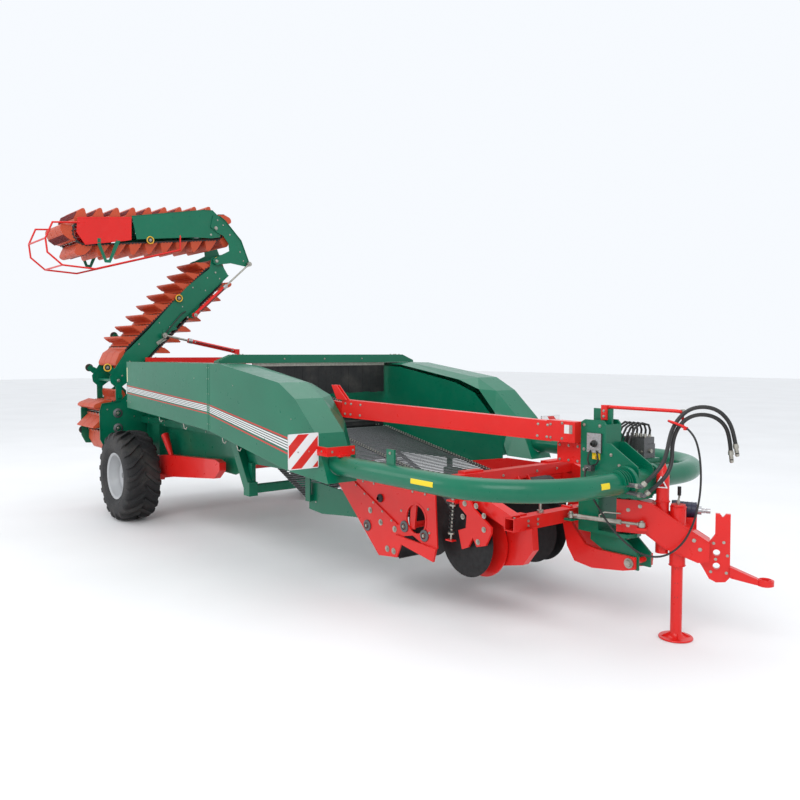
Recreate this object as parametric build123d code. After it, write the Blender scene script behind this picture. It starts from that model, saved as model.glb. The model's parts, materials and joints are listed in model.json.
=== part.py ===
from build123d import *
import math
import os

os.makedirs("parts", exist_ok=True)

# Trailed two-row sieving-web potato harvester.
# Frame: +X forward (towards the towing eye), +Y left, +Z up, millimetres.  The
# table below is drawn from the ground under the wheels' common axis; the files
# are written with their origin in the middle of the footprint (ORIGIN).

# ---------------------------------------------------------------- sizes
ORIGIN = (2831.47, -243.5)   # middle of the footprint, measured from the wheels' axis
TYRE_R, TYRE_W, WHEEL_Y = 537.5, 410.0, 1337.0
RIM_R = 254.0
PANEL_Y = 1327.0            # outer skins of the two side hoods
INNER_Y = 900.0             # channel walls, outer faces
WALL_T = 12.0
WEB_HALF = 815.0            # half width of the sieving web
WEB_T = 24.0
HOOD_TOP = 1900.0
SPLIT_X = 2170.0            # joint between rear panel and front hood
REAR_X = -60.0
RING_R, RING_Z, RING_X = 1200.0, 1108.0, 6220.0
RING_BEND, RING_TUBE = 700.0, 78.0
BEAM_X = 2200.0             # green beam across the top of the channel
# discharge elevator (lies in the transverse plane behind the axle)
EL_X0, EL_X1 = -1270.0, -560.0          # rear and front side plates
EL_T = 8.0
LIFT_P = (-1254.0, 1660.0)             # hinge of the sloping section (Y, Z)
ELBOW_P = (98.0, 3250.0)               # hinge of the elbow plates on the slope (Y, Z)
FOLD_P = (95.0, 3690.0)                # hinge of the discharge section on the elbow (Y, Z)
FOLD_B, FOLD_T = (-242.0, 2512.0), (568.0, 3237.0)   # pins of the folding cylinder
LIFT_C, LIFT_S = (346.0, 2031.0), (-667.0, 2237.0)   # pins of the lifting cylinder
CYL_X = -490.0
SLOPE_DEG = 44.2
TOP_DEG = 186.3
BELT_R, BELT_T = 150.0, 12.0           # belt line over end rollers, belt thickness
FLIGHT_H, FLIGHT_PITCH = 150.0, 205.0
# drawbar
DB_P = (6140.0, 0.0)                   # vertical pivot of the drawbar
DB_DEG = 29.3                          # drawbar points this far to the left
JACK_S, JACK_R, JACK_TRAVEL = 350.0, 40.0, 330.0    # stand: place along the drawbar, tube radius, stroke
STRUT_J, STRUT_L, STRUT_Z = (5803.0, -200.0), (120.0, -150.0), 817.0   # screw strut: ends and height
# digging unit
DIG_P = (6250.0, 540.0)                # cross pivot of the digging unit (X, Z)
DISC_R = 275.0


# ---------------------------------------------------------------- helpers
def box(x0, x1, y0, y1, z0, z1):
    return Pos((x0 + x1) / 2, (y0 + y1) / 2, (z0 + z1) / 2) * Box(
        abs(x1 - x0), abs(y1 - y0), abs(z1 - z0))


def poly(points):
    return Face(Wire.make_polygon([Vector(*p) for p in points], close=True))


def prism_xz(pts, y0, y1):
    f = poly([(x, y0, z) for x, z in pts])
    return Part(extrude(f, amount=abs(y1 - y0), dir=(0, 1 if y1 > y0 else -1, 0)).wrapped)


def prism_yz(pts, x0, x1):
    f = poly([(x0, y, z) for y, z in pts])
    return Part(extrude(f, amount=abs(x1 - x0), dir=(1 if x1 > x0 else -1, 0, 0)).wrapped)


def prism_xy(pts, z0, z1):
    f = poly([(x, y, z0) for x, y in pts])
    return Part(extrude(f, amount=abs(z1 - z0), dir=(0, 0, 1 if z1 > z0 else -1)).wrapped)


def rod(p, q, r):
    p, q = Vector(*p), Vector(*q)
    return Part(Solid.make_cylinder(r, (q - p).length, Plane(origin=p, z_dir=q - p)).wrapped)


def pipe(p, q, r, ri):
    d = (Vector(*q) - Vector(*p)).normalized() * 5
    return rod(p, q, r) - rod(tuple(Vector(*p) - d), tuple(Vector(*q) + d), ri)


def bar(p, q, w, h):
    """Rectangular bar from p to q, w wide sideways and h deep."""
    p, q = Vector(*p), Vector(*q)
    d = (q - p).normalized()
    side = Vector(0, 0, 1).cross(d)
    side = Vector(0, 1, 0) if side.length < 1e-6 else side.normalized()
    pl = Plane(origin=(p + q) * 0.5, x_dir=d, z_dir=d.cross(side))
    return pl * Box((q - p).length, w, h)


def both(fn):
    """A piece and its mirror image across the centre line."""
    a = fn
    return a, a.mirror(Plane.XZ)


def hull(circles, n=28):
    """Convex outline round a few circles (u, v, r)."""
    pts = []
    for u, v, r in circles:
        for i in range(n):
            t = 2 * math.pi * i / n
            pts.append((round(u + r * math.cos(t), 4), round(v + r * math.sin(t), 4)))
    pts = sorted(set(pts))

    def half(seq):
        out = []
        for p in seq:
            while len(out) >= 2 and (out[-1][0] - out[-2][0]) * (p[1] - out[-2][1]) - (
                    out[-1][1] - out[-2][1]) * (p[0] - out[-2][0]) <= 1e-6:
                out.pop()
            out.append(p)
        return out
    lo, hi = half(pts), half(pts[::-1])
    return lo[:-1] + hi[:-1]


def turn(pt, centre, deg):
    a = math.radians(deg)
    u, v = pt[0] - centre[0], pt[1] - centre[1]
    return (centre[0] + u * math.cos(a) - v * math.sin(a),
            centre[1] + u * math.sin(a) + v * math.cos(a))


def db(s, w, z):
    """Point s along the drawbar from its pivot and w to its left."""
    a = math.radians(DB_DEG)
    return (DB_P[0] + s * math.cos(a) - w * math.sin(a), DB_P[1] + s * math.sin(a) + w * math.cos(a), z)


NODES = {}


def node(name, *shapes):
    s = shapes[0]
    for o in shapes[1:]:
        s = s + o
    NODES[name] = s
    return s


def group(name, *shapes):
    """Like pieces that don't touch, kept as separate solids of one node."""
    sol = []
    for s in shapes:
        sol += list(s.solids())
    NODES[name] = Compound(children=sol) if len(sol) > 1 else Part(sol[0].wrapped)


# ---------------------------------------------------------------- wheels
def wheel(side):
    y = side * WHEEL_Y
    w = TYRE_W / 2
    # tyre section: radius from the axis, offset along it
    sec = [(RIM_R + 1, -165), (RIM_R + 34, -166), (330, -196), (400, -w), (455, -w + 4),
           (505, -w + 22), (TYRE_R - 8, -w + 60), (TYRE_R, -w + 110), (TYRE_R, w - 110),
           (TYRE_R - 8, w - 60), (505, w - 22), (455, w - 4), (400, w), (330, 196),
           (RIM_R + 34, 166), (RIM_R + 1, 165), (RIM_R + 1, 140), (300, 140), (420, 150),
           (490, 120), (490, -120), (420, -150), (300, -140), (RIM_R + 1, -140)]
    f = poly([(0, y + o, TYRE_R + r) for r, o in sec])
    tyre = Part(revolve(f, axis=Axis((0, y, TYRE_R), (0, 1, 0)), revolution_arc=360).wrapped)
    out = side
    # rim section, outer face towards +out
    rs = [(RIM_R, -165), (RIM_R, 165), (RIM_R + 24, 168), (RIM_R + 24, 178), (RIM_R - 12, 178),
          (RIM_R - 16, 150), (RIM_R - 40, 95), (RIM_R - 48, 70), (150, 60), (95, 30),
          (95, 20), (60.0, 20), (60.0, -20), (82, -20), (82, 14), (146, 46), (RIM_R - 56, 56),
          (RIM_R - 50, -40), (RIM_R - 16, -110), (RIM_R - 14, -178), (RIM_R + 24, -178),
          (RIM_R + 24, -168)]
    f = poly([(0, y + out * o, TYRE_R + r) for r, o in rs])
    rim = Part(revolve(f, axis=Axis((0, y, TYRE_R), (0, 1, 0)), revolution_arc=360).wrapped)
    hub = rod((0, y - out * 60, TYRE_R), (0, y + out * 62, TYRE_R), 60.0)
    hub = hub + rod((0, y + out * 62, TYRE_R), (0, y + out * 82, TYRE_R), 42.0)
    hub = hub - rod((0, y - out * 62, TYRE_R), (0, y + out * 40, TYRE_R), 35.3)
    for i in range(8):
        a = math.radians(45 * i)
        cx, cz = 78 * math.cos(a), 78 * math.sin(a)
        rim = rim + rod((cx, y + out * 20, TYRE_R + cz), (cx, y + out * 34, TYRE_R + cz), 9)
    return tyre, rim + hub


for nm, sd in (("right", -1), ("left", 1)):
    ty, rm = wheel(sd)
    node(f"tyre_{nm}", ty)
    node(f"wheel_rim_{nm}", rm)

# axle: red cross beam with stub shafts
axle = box(-80, 80, -1000, 1000, 470, 610)
axle = axle + bar((0, -1000, TYRE_R), (0, -1090, TYRE_R), 120, 120) + bar((0, 1000, TYRE_R), (0, 1090, TYRE_R), 120, 120)
for sd in (-1, 1):
    axle = axle + rod((0, sd * 1090, TYRE_R), (0, sd * (WHEEL_Y + 38), TYRE_R), 35.0)
    axle = axle + rod((0, sd * 1090, TYRE_R), (0, sd * 1110, TYRE_R), 70.0)
    for x in (-110, 95):
        axle = axle + box(x, x + 15, sd * 940, sd * 1060, 470, 760)
    axle = axle + box(-110, 110, sd * 940, sd * 1060, 455, 470)
    # side beams that run forward inside the wheels, and their sloping struts
    axle = axle + prism_xz([(108, 545), (108, 755), (420, 800), (1750, 878), (1850, 855), (1850, 770), (1720, 672), (620, 560)],
                           sd * 985, sd * 1060)
    axle = axle + Part(Solid.make_cone(26, 46, 300, Plane(origin=(520, sd * 1022, 790), z_dir=(-230, 0, 300))).wrapped)
node("axle_beam", axle)

# ---------------------------------------------------------------- side hoods
# outline of the skin: x, z
REAR_SKIN = [(REAR_X, 1352), (REAR_X, HOOD_TOP), (SPLIT_X - 2, HOOD_TOP), (SPLIT_X - 2, 1238)]
FRONT_SKIN = [(SPLIT_X + 2, 1238), (SPLIT_X + 2, HOOD_TOP), (2440, 1898), (3548, 1751), (3812, 1623),
              (4125, 1357), (4305, 972), (3675, 1012)]
TOP_LINE = [(SPLIT_X + 2, HOOD_TOP), (2440, 1898), (3548, 1751), (3812, 1623), (4125, 1357), (4305, 972)]
HOOD_T = 5.0
SEAM_Y, HOOD_IN = 1050.0, 905.0
BEVEL_LINE = [(SPLIT_X + 2, 1880), (2440, 1878), (3410, 1732), (3710, 1640), (3935, 1420), (4110, 1000)]


def rear_panel(s):
    skin = prism_xz(REAR_SKIN, s * PANEL_Y, s * (PANEL_Y - HOOD_T))
    top = box(REAR_X, SPLIT_X - 2, s * HOOD_IN, s * (PANEL_Y - 1), HOOD_TOP - HOOD_T, HOOD_TOP)
    end = box(REAR_X, REAR_X + HOOD_T, s * (HOOD_IN + 60), s * (PANEL_Y - HOOD_T), 1352, HOOD_TOP - HOOD_T)
    return skin + top + end


def facet(y0, p0, p1, y1, q0, q1, t):
    """Flat sheet between edge p0-p1 at y0 and edge q0-q1 at y1, t thick downwards."""
    v = [(p0[0], y0, p0[1]), (p1[0], y0, p1[1]), (q1[0], y1, q1[1]), (q0[0], y1, q0[1])]
    n = (Vector(*v[1]) - Vector(*v[0])).cross(Vector(*v[3]) - Vector(*v[0])).normalized()
    if n.Z > 0:
        n = n * -1
    out = []
    for tri in ((0, 1, 2), (0, 2, 3)):
        f = poly([v[i] for i in tri])
        out.append(Part(extrude(f, amount=t, dir=(n.X, n.Y, n.Z)).wrapped))
    return out[0] + out[1]


def front_hood(s):
    skin = prism_xz(FRONT_SKIN, s * PANEL_Y, s * (PANEL_Y - HOOD_T))
    parts = skin
    y0, y1, y2 = s * (PANEL_Y - 1), s * SEAM_Y, s * HOOD_IN
    for i in range(len(TOP_LINE) - 1):
        parts = parts + facet(y0, TOP_LINE[i], TOP_LINE[i + 1], y1, TOP_LINE[i], TOP_LINE[i + 1], HOOD_T)
        parts = parts + facet(y1, TOP_LINE[i], TOP_LINE[i + 1], y2, BEVEL_LINE[i], BEVEL_LINE[i + 1], HOOD_T)
    return parts


for nm, sd in (("right", -1), ("left", 1)):
    node(f"rear_panel_{nm}", rear_panel(sd))
    node(f"front_hood_{nm}", front_hood(sd))

# ---------------------------------------------------------------- main frame
WALL = [(-1290, 760), (-1290, 1330), (-560, 1360), (-520, 1860), (2200, 1860), (2440, 1850), (3360, 1700),
        (3660, 1600), (3870, 1410), (4060, 1100), (4060, 940), (3640, 905), (2350, 880), (1900, 720)]
frame = None
for sd in (-1, 1):
    y0, y1 = sd * (INNER_Y - WALL_T), sd * INNER_Y
    w = prism_xz(WALL, y1, y0)
    w = w + box(-500, 4060, y0, sd * (INNER_Y + 70), 1120, 1200)               # side rail
    w = w + box(-500, 300, y0, sd * (INNER_Y + 70), 760, 830)                  # axle rail
    w = w + box(-110, 110, y0, sd * (INNER_Y + 100), 760, 1140)                # axle post
    w = w + bar((1960, sd * (INNER_Y + 45), 1160), (2300, sd * (INNER_Y + 45), 640), 80, 110)
    w = w + box(2240, 2360, y0, sd * (INNER_Y + 85), 560, 700)
    w = w + box(2240, 2320, y0, sd * (INNER_Y + 30), 690, 890)
    w = w + box(3960, 4062, y0, sd * 1290, 1000, 1230)                         # front outrigger
    w = w + box(2150, 2250, y0, sd * (SEAM_Y + 60), 1800, 1855)
    for x in (-20, 2100, 3300):
        w = w + box(x, x + 40, y0, sd * (PANEL_Y - HOOD_T - 2), 1560, 1600)    # hood brackets
    frame = w if frame is None else frame + w
frame = frame - box(-1240, -590, -INNER_Y - 80, -INNER_Y + 80, 830, 1180)      # crop window to the elevator
frame = frame + box(2255, 2345, -INNER_Y - 5, INNER_Y + 5, 585, 665)           # low cross beam
frame = frame + box(-1290, -1250, -INNER_Y, INNER_Y, 760, 1180)                # tail board
frame = frame + box(-560, -500, -INNER_Y, INNER_Y, 720, 780)
frame = frame + prism_xz([(-555, 1120), (-545, 1130), (120, 1480), (130, 1470)], -INNER_Y + 2, INNER_Y - 2)
node("main_frame", frame)

# plates that carry the front rollers, inside the digging unit
arms = None
for sd in (-1, 1):
    m = prism_xz([(3260, 560), (3260, 800), (3420, 820), (4380, 770), (4380, 640), (3480, 545)], sd * 832, sd * 846)
    m = m + box(3270, 3330, sd * 846, sd * (INNER_Y - WALL_T), 640, 700)
    m = m + prism_xz([(3262, 640), (3262, 940), (3340, 940), (3340, 640)], sd * 876, sd * (INNER_Y - WALL_T))
    arms = list(m.solids()) if arms is None else arms + list(m.solids())
NODES["web_side_arms"] = Compound(children=arms)

# green beam over the channel, with turned-down ends
top = box(BEAM_X - 50, BEAM_X + 50, -1090, 1090, 1903, 1990)
for sd in (-1, 1):
    top = top + prism_yz([(sd * 1089, 1903), (sd * 1089, 1990), (sd * 1250, 1925), (sd * 1250, 1903)], BEAM_X - 50, BEAM_X + 50)
node("top_cross_beam", top)
rcb = box(-500, -430, -925, 925, 1862, 1950)
rcb = rcb + box(-455, -440, LIFT_C[0] - 35, LIFT_C[0] + 35, 1940, LIFT_C[1] + 30)
rcb = rcb + rod((-515, LIFT_C[0], LIFT_C[1]), (-450, LIFT_C[0], LIFT_C[1]), 15)
node("rear_cross_beam", rcb)

# hold-down plate (flap) under the cross beam, of rubber: hangs into the channel
node("haulm_curtain", box(BEAM_X - 6, BEAM_X + 6, -850, 850, 1560, 1903))

# ---------------------------------------------------------------- sieving web
FRONT_WEB = [(4320.0, 705.0, 100.0), (3380.0, 640.0, 100.0), (2330.0, 1085.0, 100.0)]   # rollers: x, z, r over the web
REAR_WEB = [(2085.0, 1180.0, 90.0), (1180.0, 1180.0, 90.0), (330.0, 1560.0, 90.0)]
web = None
for nm, rolls in (("front_sieving_web", FRONT_WEB), ("rear_sieving_web", REAR_WEB)):
    outer = hull(rolls)
    inner = hull([(x, z, r - WEB_T) for x, z, r in rolls])
    node(nm, prism_xz(outer, -WEB_HALF, WEB_HALF) - prism_xz(inner, -WEB_HALF - 5, WEB_HALF + 5))
IN = INNER_Y - WALL_T
CROSS = [(-1250, -590, -790, 905), (-1250, -590, 800, 905)]      # rollers of the cross conveyor: x0, x1, y, z
group("conveyor_rollers", *[rod((a, y, z), (b, y, z), 48) for a, b, y, z in CROSS],
      *[rod((x, -831, z), (x, 831, z), 70) for x, z, r in FRONT_WEB[:2]],
      rod((FRONT_WEB[2][0], -IN, FRONT_WEB[2][1]), (FRONT_WEB[2][0], IN, FRONT_WEB[2][1]), 70),
      *[rod((x, -IN, z), (x, IN, z), 60) for x, z, r in REAR_WEB])

# cross conveyor at the rear, carrying the crop to the elevator
cc_out = hull([(-790, 905, 70), (800, 905, 70)])
cc_in = hull([(-790, 905, 52), (800, 905, 52)])
node("cross_conveyor_belt", prism_yz(cc_out, -1225, -605) - prism_yz(cc_in, -1230, -600))

# ---------------------------------------------------------------- ring drawbar
ends = 4062.0
p = [(ends, -RING_R, RING_Z), (RING_X - RING_BEND, -RING_R, RING_Z)]
path = Wire([
    Edge.make_line((ends, -RING_R, RING_Z), (RING_X - RING_BEND, -RING_R, RING_Z)),
    Edge.make_three_point_arc((RING_X - RING_BEND, -RING_R, RING_Z),
                              (RING_X - RING_BEND + RING_BEND * math.sin(math.pi / 4),
                               -RING_R + RING_BEND - RING_BEND * math.cos(math.pi / 4), RING_Z),
                              (RING_X, -RING_R + RING_BEND, RING_Z)),
    Edge.make_line((RING_X, -RING_R + RING_BEND, RING_Z), (RING_X, RING_R - RING_BEND, RING_Z)),
    Edge.make_three_point_arc((RING_X, RING_R - RING_BEND, RING_Z),
                              (RING_X - RING_BEND + RING_BEND * math.sin(math.pi / 4),
                               RING_R - RING_BEND + RING_BEND * math.cos(math.pi / 4), RING_Z),
                              (RING_X - RING_BEND, RING_R, RING_Z)),
    Edge.make_line((RING_X - RING_BEND, RING_R, RING_Z), (ends, RING_R, RING_Z)),
])
sec = Face(Wire.make_circle(RING_TUBE, Plane(origin=(ends, -RING_R, RING_Z), z_dir=(1, 0, 0))))
ring = Part(Solid.sweep(sec, path=path).wrapped)
for sd in (-1, 1):
    ring = ring + box(4900, 4990, sd * (RING_R - 8), sd * (RING_R + 8), RING_Z + 60, RING_Z + 190)
node("ring_drawbar", ring)
for nm, sd in (("right", -1), ("left", 1)):
    NODES[f"front_hood_{nm}"] = NODES[f"front_hood_{nm}"] - rod((3900, sd * RING_R, RING_Z), (4700, sd * RING_R, RING_Z), RING_TUBE + 5) \
        - box(3955, 4066, sd * 900, sd * 1295, 995, 1235)

# ---------------------------------------------------------------- headstock
hs = None
for sd in (-1, 1):
    m = prism_xz([(5800, 1000), (5800, 1500), (5835, 1520), (5995, 1520), (6020, 1490), (6020, 1230), (6300, 1200),
                  (6300, 1000), (6150, 988)], sd * 92, sd * 76)
    hs = m if hs is None else hs + m
hs = hs + box(6000, 6020, -80, 80, 1000, 1490) + box(5800, 5820, -80, 80, 1000, 1500)
hs = hs + box(5850, 6010, -10, 10, 1480, 1600) + box(5800, 6010, -80, 80, 1470, 1482)
hs = hs + box(6018, 6300, -80, 80, 986, 1120)
hs = hs + bar((5940, 84, 1490), (5940, 330, 1215), 40, 40) + box(5880, 6130, 88, 420, 1200, 1225)
# clevis for the drawbar: two plates, the post that joins them and the pin
OUTL = [(5800, -110), (6140, -110), (6215, -75), (6235, 0), (6215, 75), (6140, 110), (5800, 110)]
hs = hs + prism_xy(OUTL, 985, 1012) + prism_xy(OUTL, 700, 727) + box(5800, 5980, -110, 110, 720, 995)
hs = hs + rod((DB_P[0], DB_P[1], 690), (DB_P[0], DB_P[1], 1000), 25.0)
hs = hs + box(5760, 5830, -225, -118, 780, 796) + box(5806, 5830, -225, -100, 780, 796)
# lugs of the digging unit's cross pivot
for sd in (-1, 1):
    hs = hs + prism_xz([(5890, 710), (5890, 640), (6190, 490), (6300, 490), (6300, 595), (6180, 700), (6180, 710)],
                       sd * 64, sd * 80)
hs = hs - rod((DIG_P[0], -200, DIG_P[1]), (DIG_P[0], 200, DIG_P[1]), 20.0)
for sd in (-1, 1):                                                       # collars round the ring tube
    hs = hs + rod((RING_X, sd * 128, RING_Z), (RING_X, sd * 160, RING_Z), 112) + box(6130, 6310, sd * 90, sd * 160, 1010, 1036)
    hs = hs + prism_xz([(6020, 1210), (6020, 1360), (6060, 1360), (6290, 1215), (6290, 1185), (6150, 1180)], sd * 80, sd * 92)
hs = hs - ring - box(6303, 6400, 60, 200, 1000, 1300)                    # room for the drawbar's post
hs = hs + rod((STRUT_J[0], STRUT_J[1], 785), (STRUT_J[0], STRUT_J[1], 840), 12)
node("headstock", hs)
# valve block, control panel on the right cheek and the hose fittings
HOSE_A = (6430, -150, 1075)
HOSE_B = (6430, -196, 1140)
LOOP_0 = (5905, -152, 1168)
group("valve_block", box(5900, 6100, 262, 400, 1226, 1330) + box(6020, 6100, 262, 300, 1330, 1380),
      box(5868, 5992, -108, -92.2, 1285, 1425) + rod((5935, -120, 1350), (5935, -108, 1350), 22),
      rod((6230, -164, 1051), (6390, -163.5, 1038), 15) + rod((6387.8, -164.1, 1034.7), HOSE_A, 15) - ring - hs,
      rod((6250, -214, 1108), (6406, -214, 1109), 15) + rod((6404.7, -214.5, 1107.8), HOSE_B, 15) - ring - hs,
      box(5870, 5930, -140, -92.2, 1150, 1190) + rod((5898, -133.9, 1173.1), LOOP_0, 9))
# arm with a hoop that carries the hoses
HOOP = (6452, 135, 1510)
HOOP_R = 66
hg = rod((5950, 0, 1614), (6400, 178, 1600), 13) + rod((6400, 178, 1600), (6452, 192, 1596), 13)
hg = hg + box(5925, 5975, -24, -10.2, 1520, 1627) + box(5925, 5975, 10.2, 24, 1520, 1627) + box(5925, 5975, -24, 24, 1600.5, 1627)
hg = hg + Part(Solid.make_torus(HOOP_R, 8, Plane(origin=HOOP, z_dir=(0.25, 0.30, 0.92))).wrapped)
hg = hg + rod((6452, 192, 1596), (6452, 198, 1490), 9) + box(6512, 6530, 105, 135, 1478, 1500)
node("hose_guide", hg)
print("hose guide solids", len(hg.solids()))


def hose(name, pts, dia):
    """Free hose: straight runs joined by tangent arcs."""
    v = [Vector(*p) for p in pts]
    radii = []
    for k in range(1, len(v) - 1):
        a, b = v[k] - v[k - 1], v[k + 1] - v[k]
        radii.append(0.45 * min(a.length, b.length) / math.tan(math.radians(a.get_angle(b)) / 2))
    line = FilletPolyline(*[tuple(q) for q in v], radius=radii)
    tube = sweep(Plane(origin=v[0], z_dir=v[1] - v[0]) * Circle(dia / 2), path=line)
    L = line.length if hasattr(line, "length") else sum(e.length for e in line.edges())
    print(name, "length", round(L), "radii", [round(q) for q in radii], "volume/section", round(tube.volume / (math.pi * dia ** 2 / 4 * L), 4),
          "runs", [round((v[k + 1] - v[k]).length) for k in range(len(v) - 1)])
    NODES[name] = Part(tube.solids()[0].wrapped)


# routes of the two pressure hoses: x, y, z
ROUTE_1 = [HOSE_A, (6496, -128, 1138), (6530, -83, 1212), (6518, -30, 1288), (6482, 22, 1358), (6457, 81, 1427),
           (6456, 139, 1500), (6490, 201, 1561), (6538, 278, 1582), (6600, 347, 1566), (6647, 403, 1509), (6665, 436, 1423),
           (6668, 450, 1330)]
ROUTE_2 = [HOSE_B, (6482, -158, 1206), (6499, -98, 1276), (6484, -38, 1347), (6460, 22, 1416), (6444, 82, 1486),
           (6459, 139, 1560), (6502, 197, 1619), (6562, 267, 1637), (6623, 335, 1617), (6671, 387, 1556), (6700, 417, 1472),
           (6712, 430, 1380)]
hose("hose_1", ROUTE_1, 28)
hose("hose_2", ROUTE_2, 28)
cp = []
for rt in (ROUTE_1, ROUTE_2):
    e = Vector(*rt[-1])
    d = (e - Vector(*rt[-2])).normalized()
    cp.append(rod(tuple(e), tuple(e + d * 34), 19) + rod(tuple(e + d * 34), tuple(e + d * 92), 15))
group("hose_couplers", *cp)
node("gearbox", box(5560, 5780, -70, 70, 1180, 1330), rod((5780, 0, 1250), (5799, 0, 1250), 45))

# diagonal red beam from the headstock back to the right channel wall
node("brace_beam", bar((5560, -115, 1415), (3840, -850, 1530), 80, 150) + box(5530, 5799, -160, -72, 1345, 1500)
     + bar((3840, -850, 1530), (3700, -886, 1540), 80, 100) - box(3000, 4300, -1200, -888, 1000, 2000))

# ---------------------------------------------------------------- boards, lamps
boards, brackets, lamps = [], [], []
for sd in (-1, 1):
    boards.append(box(4168, 4172, sd * 1330, sd * 1612, 1090, 1372))
    brackets.append(box(4150, 4168, sd * 1333, sd * 1560, 1190, 1262)
                    + box(4150, 4322, sd * 1333, sd * 1345, 1190, 1262) + box(4310, 4322, sd * 1080, sd * 1345, 1190, 1262)
                    + box(4310, 4360, sd * 1150, sd * 1250, 1183, 1200) - ring)
    lamps.append(box(-1330, -1291, sd * 700, sd * 850, 1000, 1110))
group("warning_boards", *boards)
group("board_brackets", *brackets)
group("rear_lamps", *lamps)

# ---------------------------------------------------------------- elevator
def loop(c0, c1, r_out, r_in):
    o = hull([(c0[0], c0[1], r_out), (c1[0], c1[1], r_out)])
    i = hull([(c0[0], c0[1], r_in), (c1[0], c1[1], r_in)])
    return o, i


def flighted(c0, c1):
    """Rubber belt over two rollers with leaning flights; one profile across the belt."""
    (u0, v0), (u1, v1) = c0, c1
    L = math.hypot(u1 - u0, v1 - v0)
    du, dv = (u1 - u0) / L, (v1 - v0) / L
    nu, nv = -dv, du                       # left of the direction of travel
    r = BELT_R
    per = 2 * L + 2 * math.pi * r
    n = int(round(per / FLIGHT_PITCH))

    def at(s, h):
        s = s % per
        rr = r + h
        if s < L:
            return (u0 + du * s + nu * rr, v0 + dv * s + nv * rr)
        s -= L
        if s < math.pi * r:
            a = s / r
            cu, cv = nu * math.cos(a) + du * math.sin(a), nv * math.cos(a) + dv * math.sin(a)
            return (u1 + cu * rr, v1 + cv * rr)
        s -= math.pi * r
        if s < L:
            return (u1 - du * s - nu * rr, v1 - dv * s - nv * rr)
        s -= L
        a = s / r
        cu, cv = -nu * math.cos(a) - du * math.sin(a), -nv * math.cos(a) - dv * math.sin(a)
        return (u0 + cu * rr, v0 + cv * rr)
    pts = []
    for i in range(n):
        s = i * per / n
        pts += [at(s, 0), at(s + 40, 0), at(s + 40 + 20, FLIGHT_H), at(s + 84, FLIGHT_H),
                at(s + 150, 0)]
    core = [at(i * per / 72, -BELT_T) for i in range(72)]
    return pts, core


W0, W1 = EL_X0 + 30, EL_X1 - 30
def U(deg):
    return (math.cos(math.radians(deg)), math.sin(math.radians(deg)))


def along(c, deg, s, w=0.0):
    a = U(deg)
    return (c[0] + a[0] * s - a[1] * w, c[1] + a[1] * s + a[0] * w)


# centre lines of the three runs (Y, Z)
BASE0, BASE1 = (-1270.0, 1060.0), (-1270.0, 1250.0)
SL0, SL1 = (-1000.0, 1990.0), (60.0, 3020.0)
TP0, TP1 = (-1610.0, 3480.0), FOLD_P


def belt_node(name, c0, c1):
    pts, core = flighted(c0, c1)
    b = prism_yz(pts, W0, W1) - prism_yz(core, W0 - 5, W1 + 5)
    node(name, b)


belt_node("elevator_base_belt", BASE1, BASE0)
belt_node("elevator_slope_belt", SL0, SL1)
belt_node("elevator_top_belt", TP1, TP0)

# base housing on the frame: two side plates and cross members
BASE_PLATE = [(-1154, 1486), (-1231, 1403), (-1467, 1378), (-1498, 1280), (-1498, 930), (-1447, 828), (-1138, 807)] + [
    (-900, 840), (-900, 1500), (-960, 1560), (-1060, 1560)]
base = None
for x in (EL_X0, EL_X1):
    pl = prism_yz(BASE_PLATE, x - EL_T / 2, x + EL_T / 2)
    base = pl if base is None else base + pl
base = base + box(EL_X0, EL_X1, -955, -900, 1190, 1240)
base = base + box(EL_X1, -500, -970, -900, 1120, 1200) + box(EL_X1, -540, -1260, -1210, 1440, 1480)
base = base + rod((EL_X0 - 4, LIFT_P[0], LIFT_P[1]), (EL_X1 + 4, LIFT_P[0], LIFT_P[1]), 20)
for x in (EL_X0, EL_X1):
    base = base + prism_yz([(-1290, 1370), (-1290, 1660), (-1254, 1700), (-1215, 1660), (-1215, 1370)], x - 4, x + 4)
node("elevator_base", base)

# sloping section
SLOPE_PLATE = [(-1356, 1711), (-1168, 1996), (-855, 2301), (-316, 2881), (13, 3147), (45, 3285), (98, 3310), (150, 3285), (291, 3070), (198, 2987), (-490, 2353), (-907, 1920), (-1046, 1794), (-1138, 1630), (-1253, 1547), (-1344, 1630)]
slope = None
for x in (EL_X0 + 14, EL_X1 - 14):
    pl = prism_yz(SLOPE_PLATE, x - EL_T / 2, x + EL_T / 2)
    pl = pl - rod((x - 10, LIFT_P[0], LIFT_P[1]), (x + 10, LIFT_P[0], LIFT_P[1]), 20.4)
    slope = pl if slope is None else slope + pl
for c in (SL0, SL1):
    slope = slope + rod((EL_X0 + 14, c[0], c[1]), (EL_X1 - 14, c[0], c[1]), 70)
for x, o in ((EL_X0 + 14, -1), (EL_X1 - 14, 1)):
    slope = slope + rod((x, ELBOW_P[0], ELBOW_P[1]), (x + o * 50, ELBOW_P[0], ELBOW_P[1]), 20)
slope = slope + prism_yz([(-350, 2500), (-242, 2470), (-200, 2500), (-120, 2700), (-300, 2560)], EL_X1 - 18, EL_X1 - 10)
slope = slope + rod((EL_X1 - 14, FOLD_B[0], FOLD_B[1]), (CYL_X + 26, FOLD_B[0], FOLD_B[1]), 15)
node("elevator_slope_frame", slope)

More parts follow.
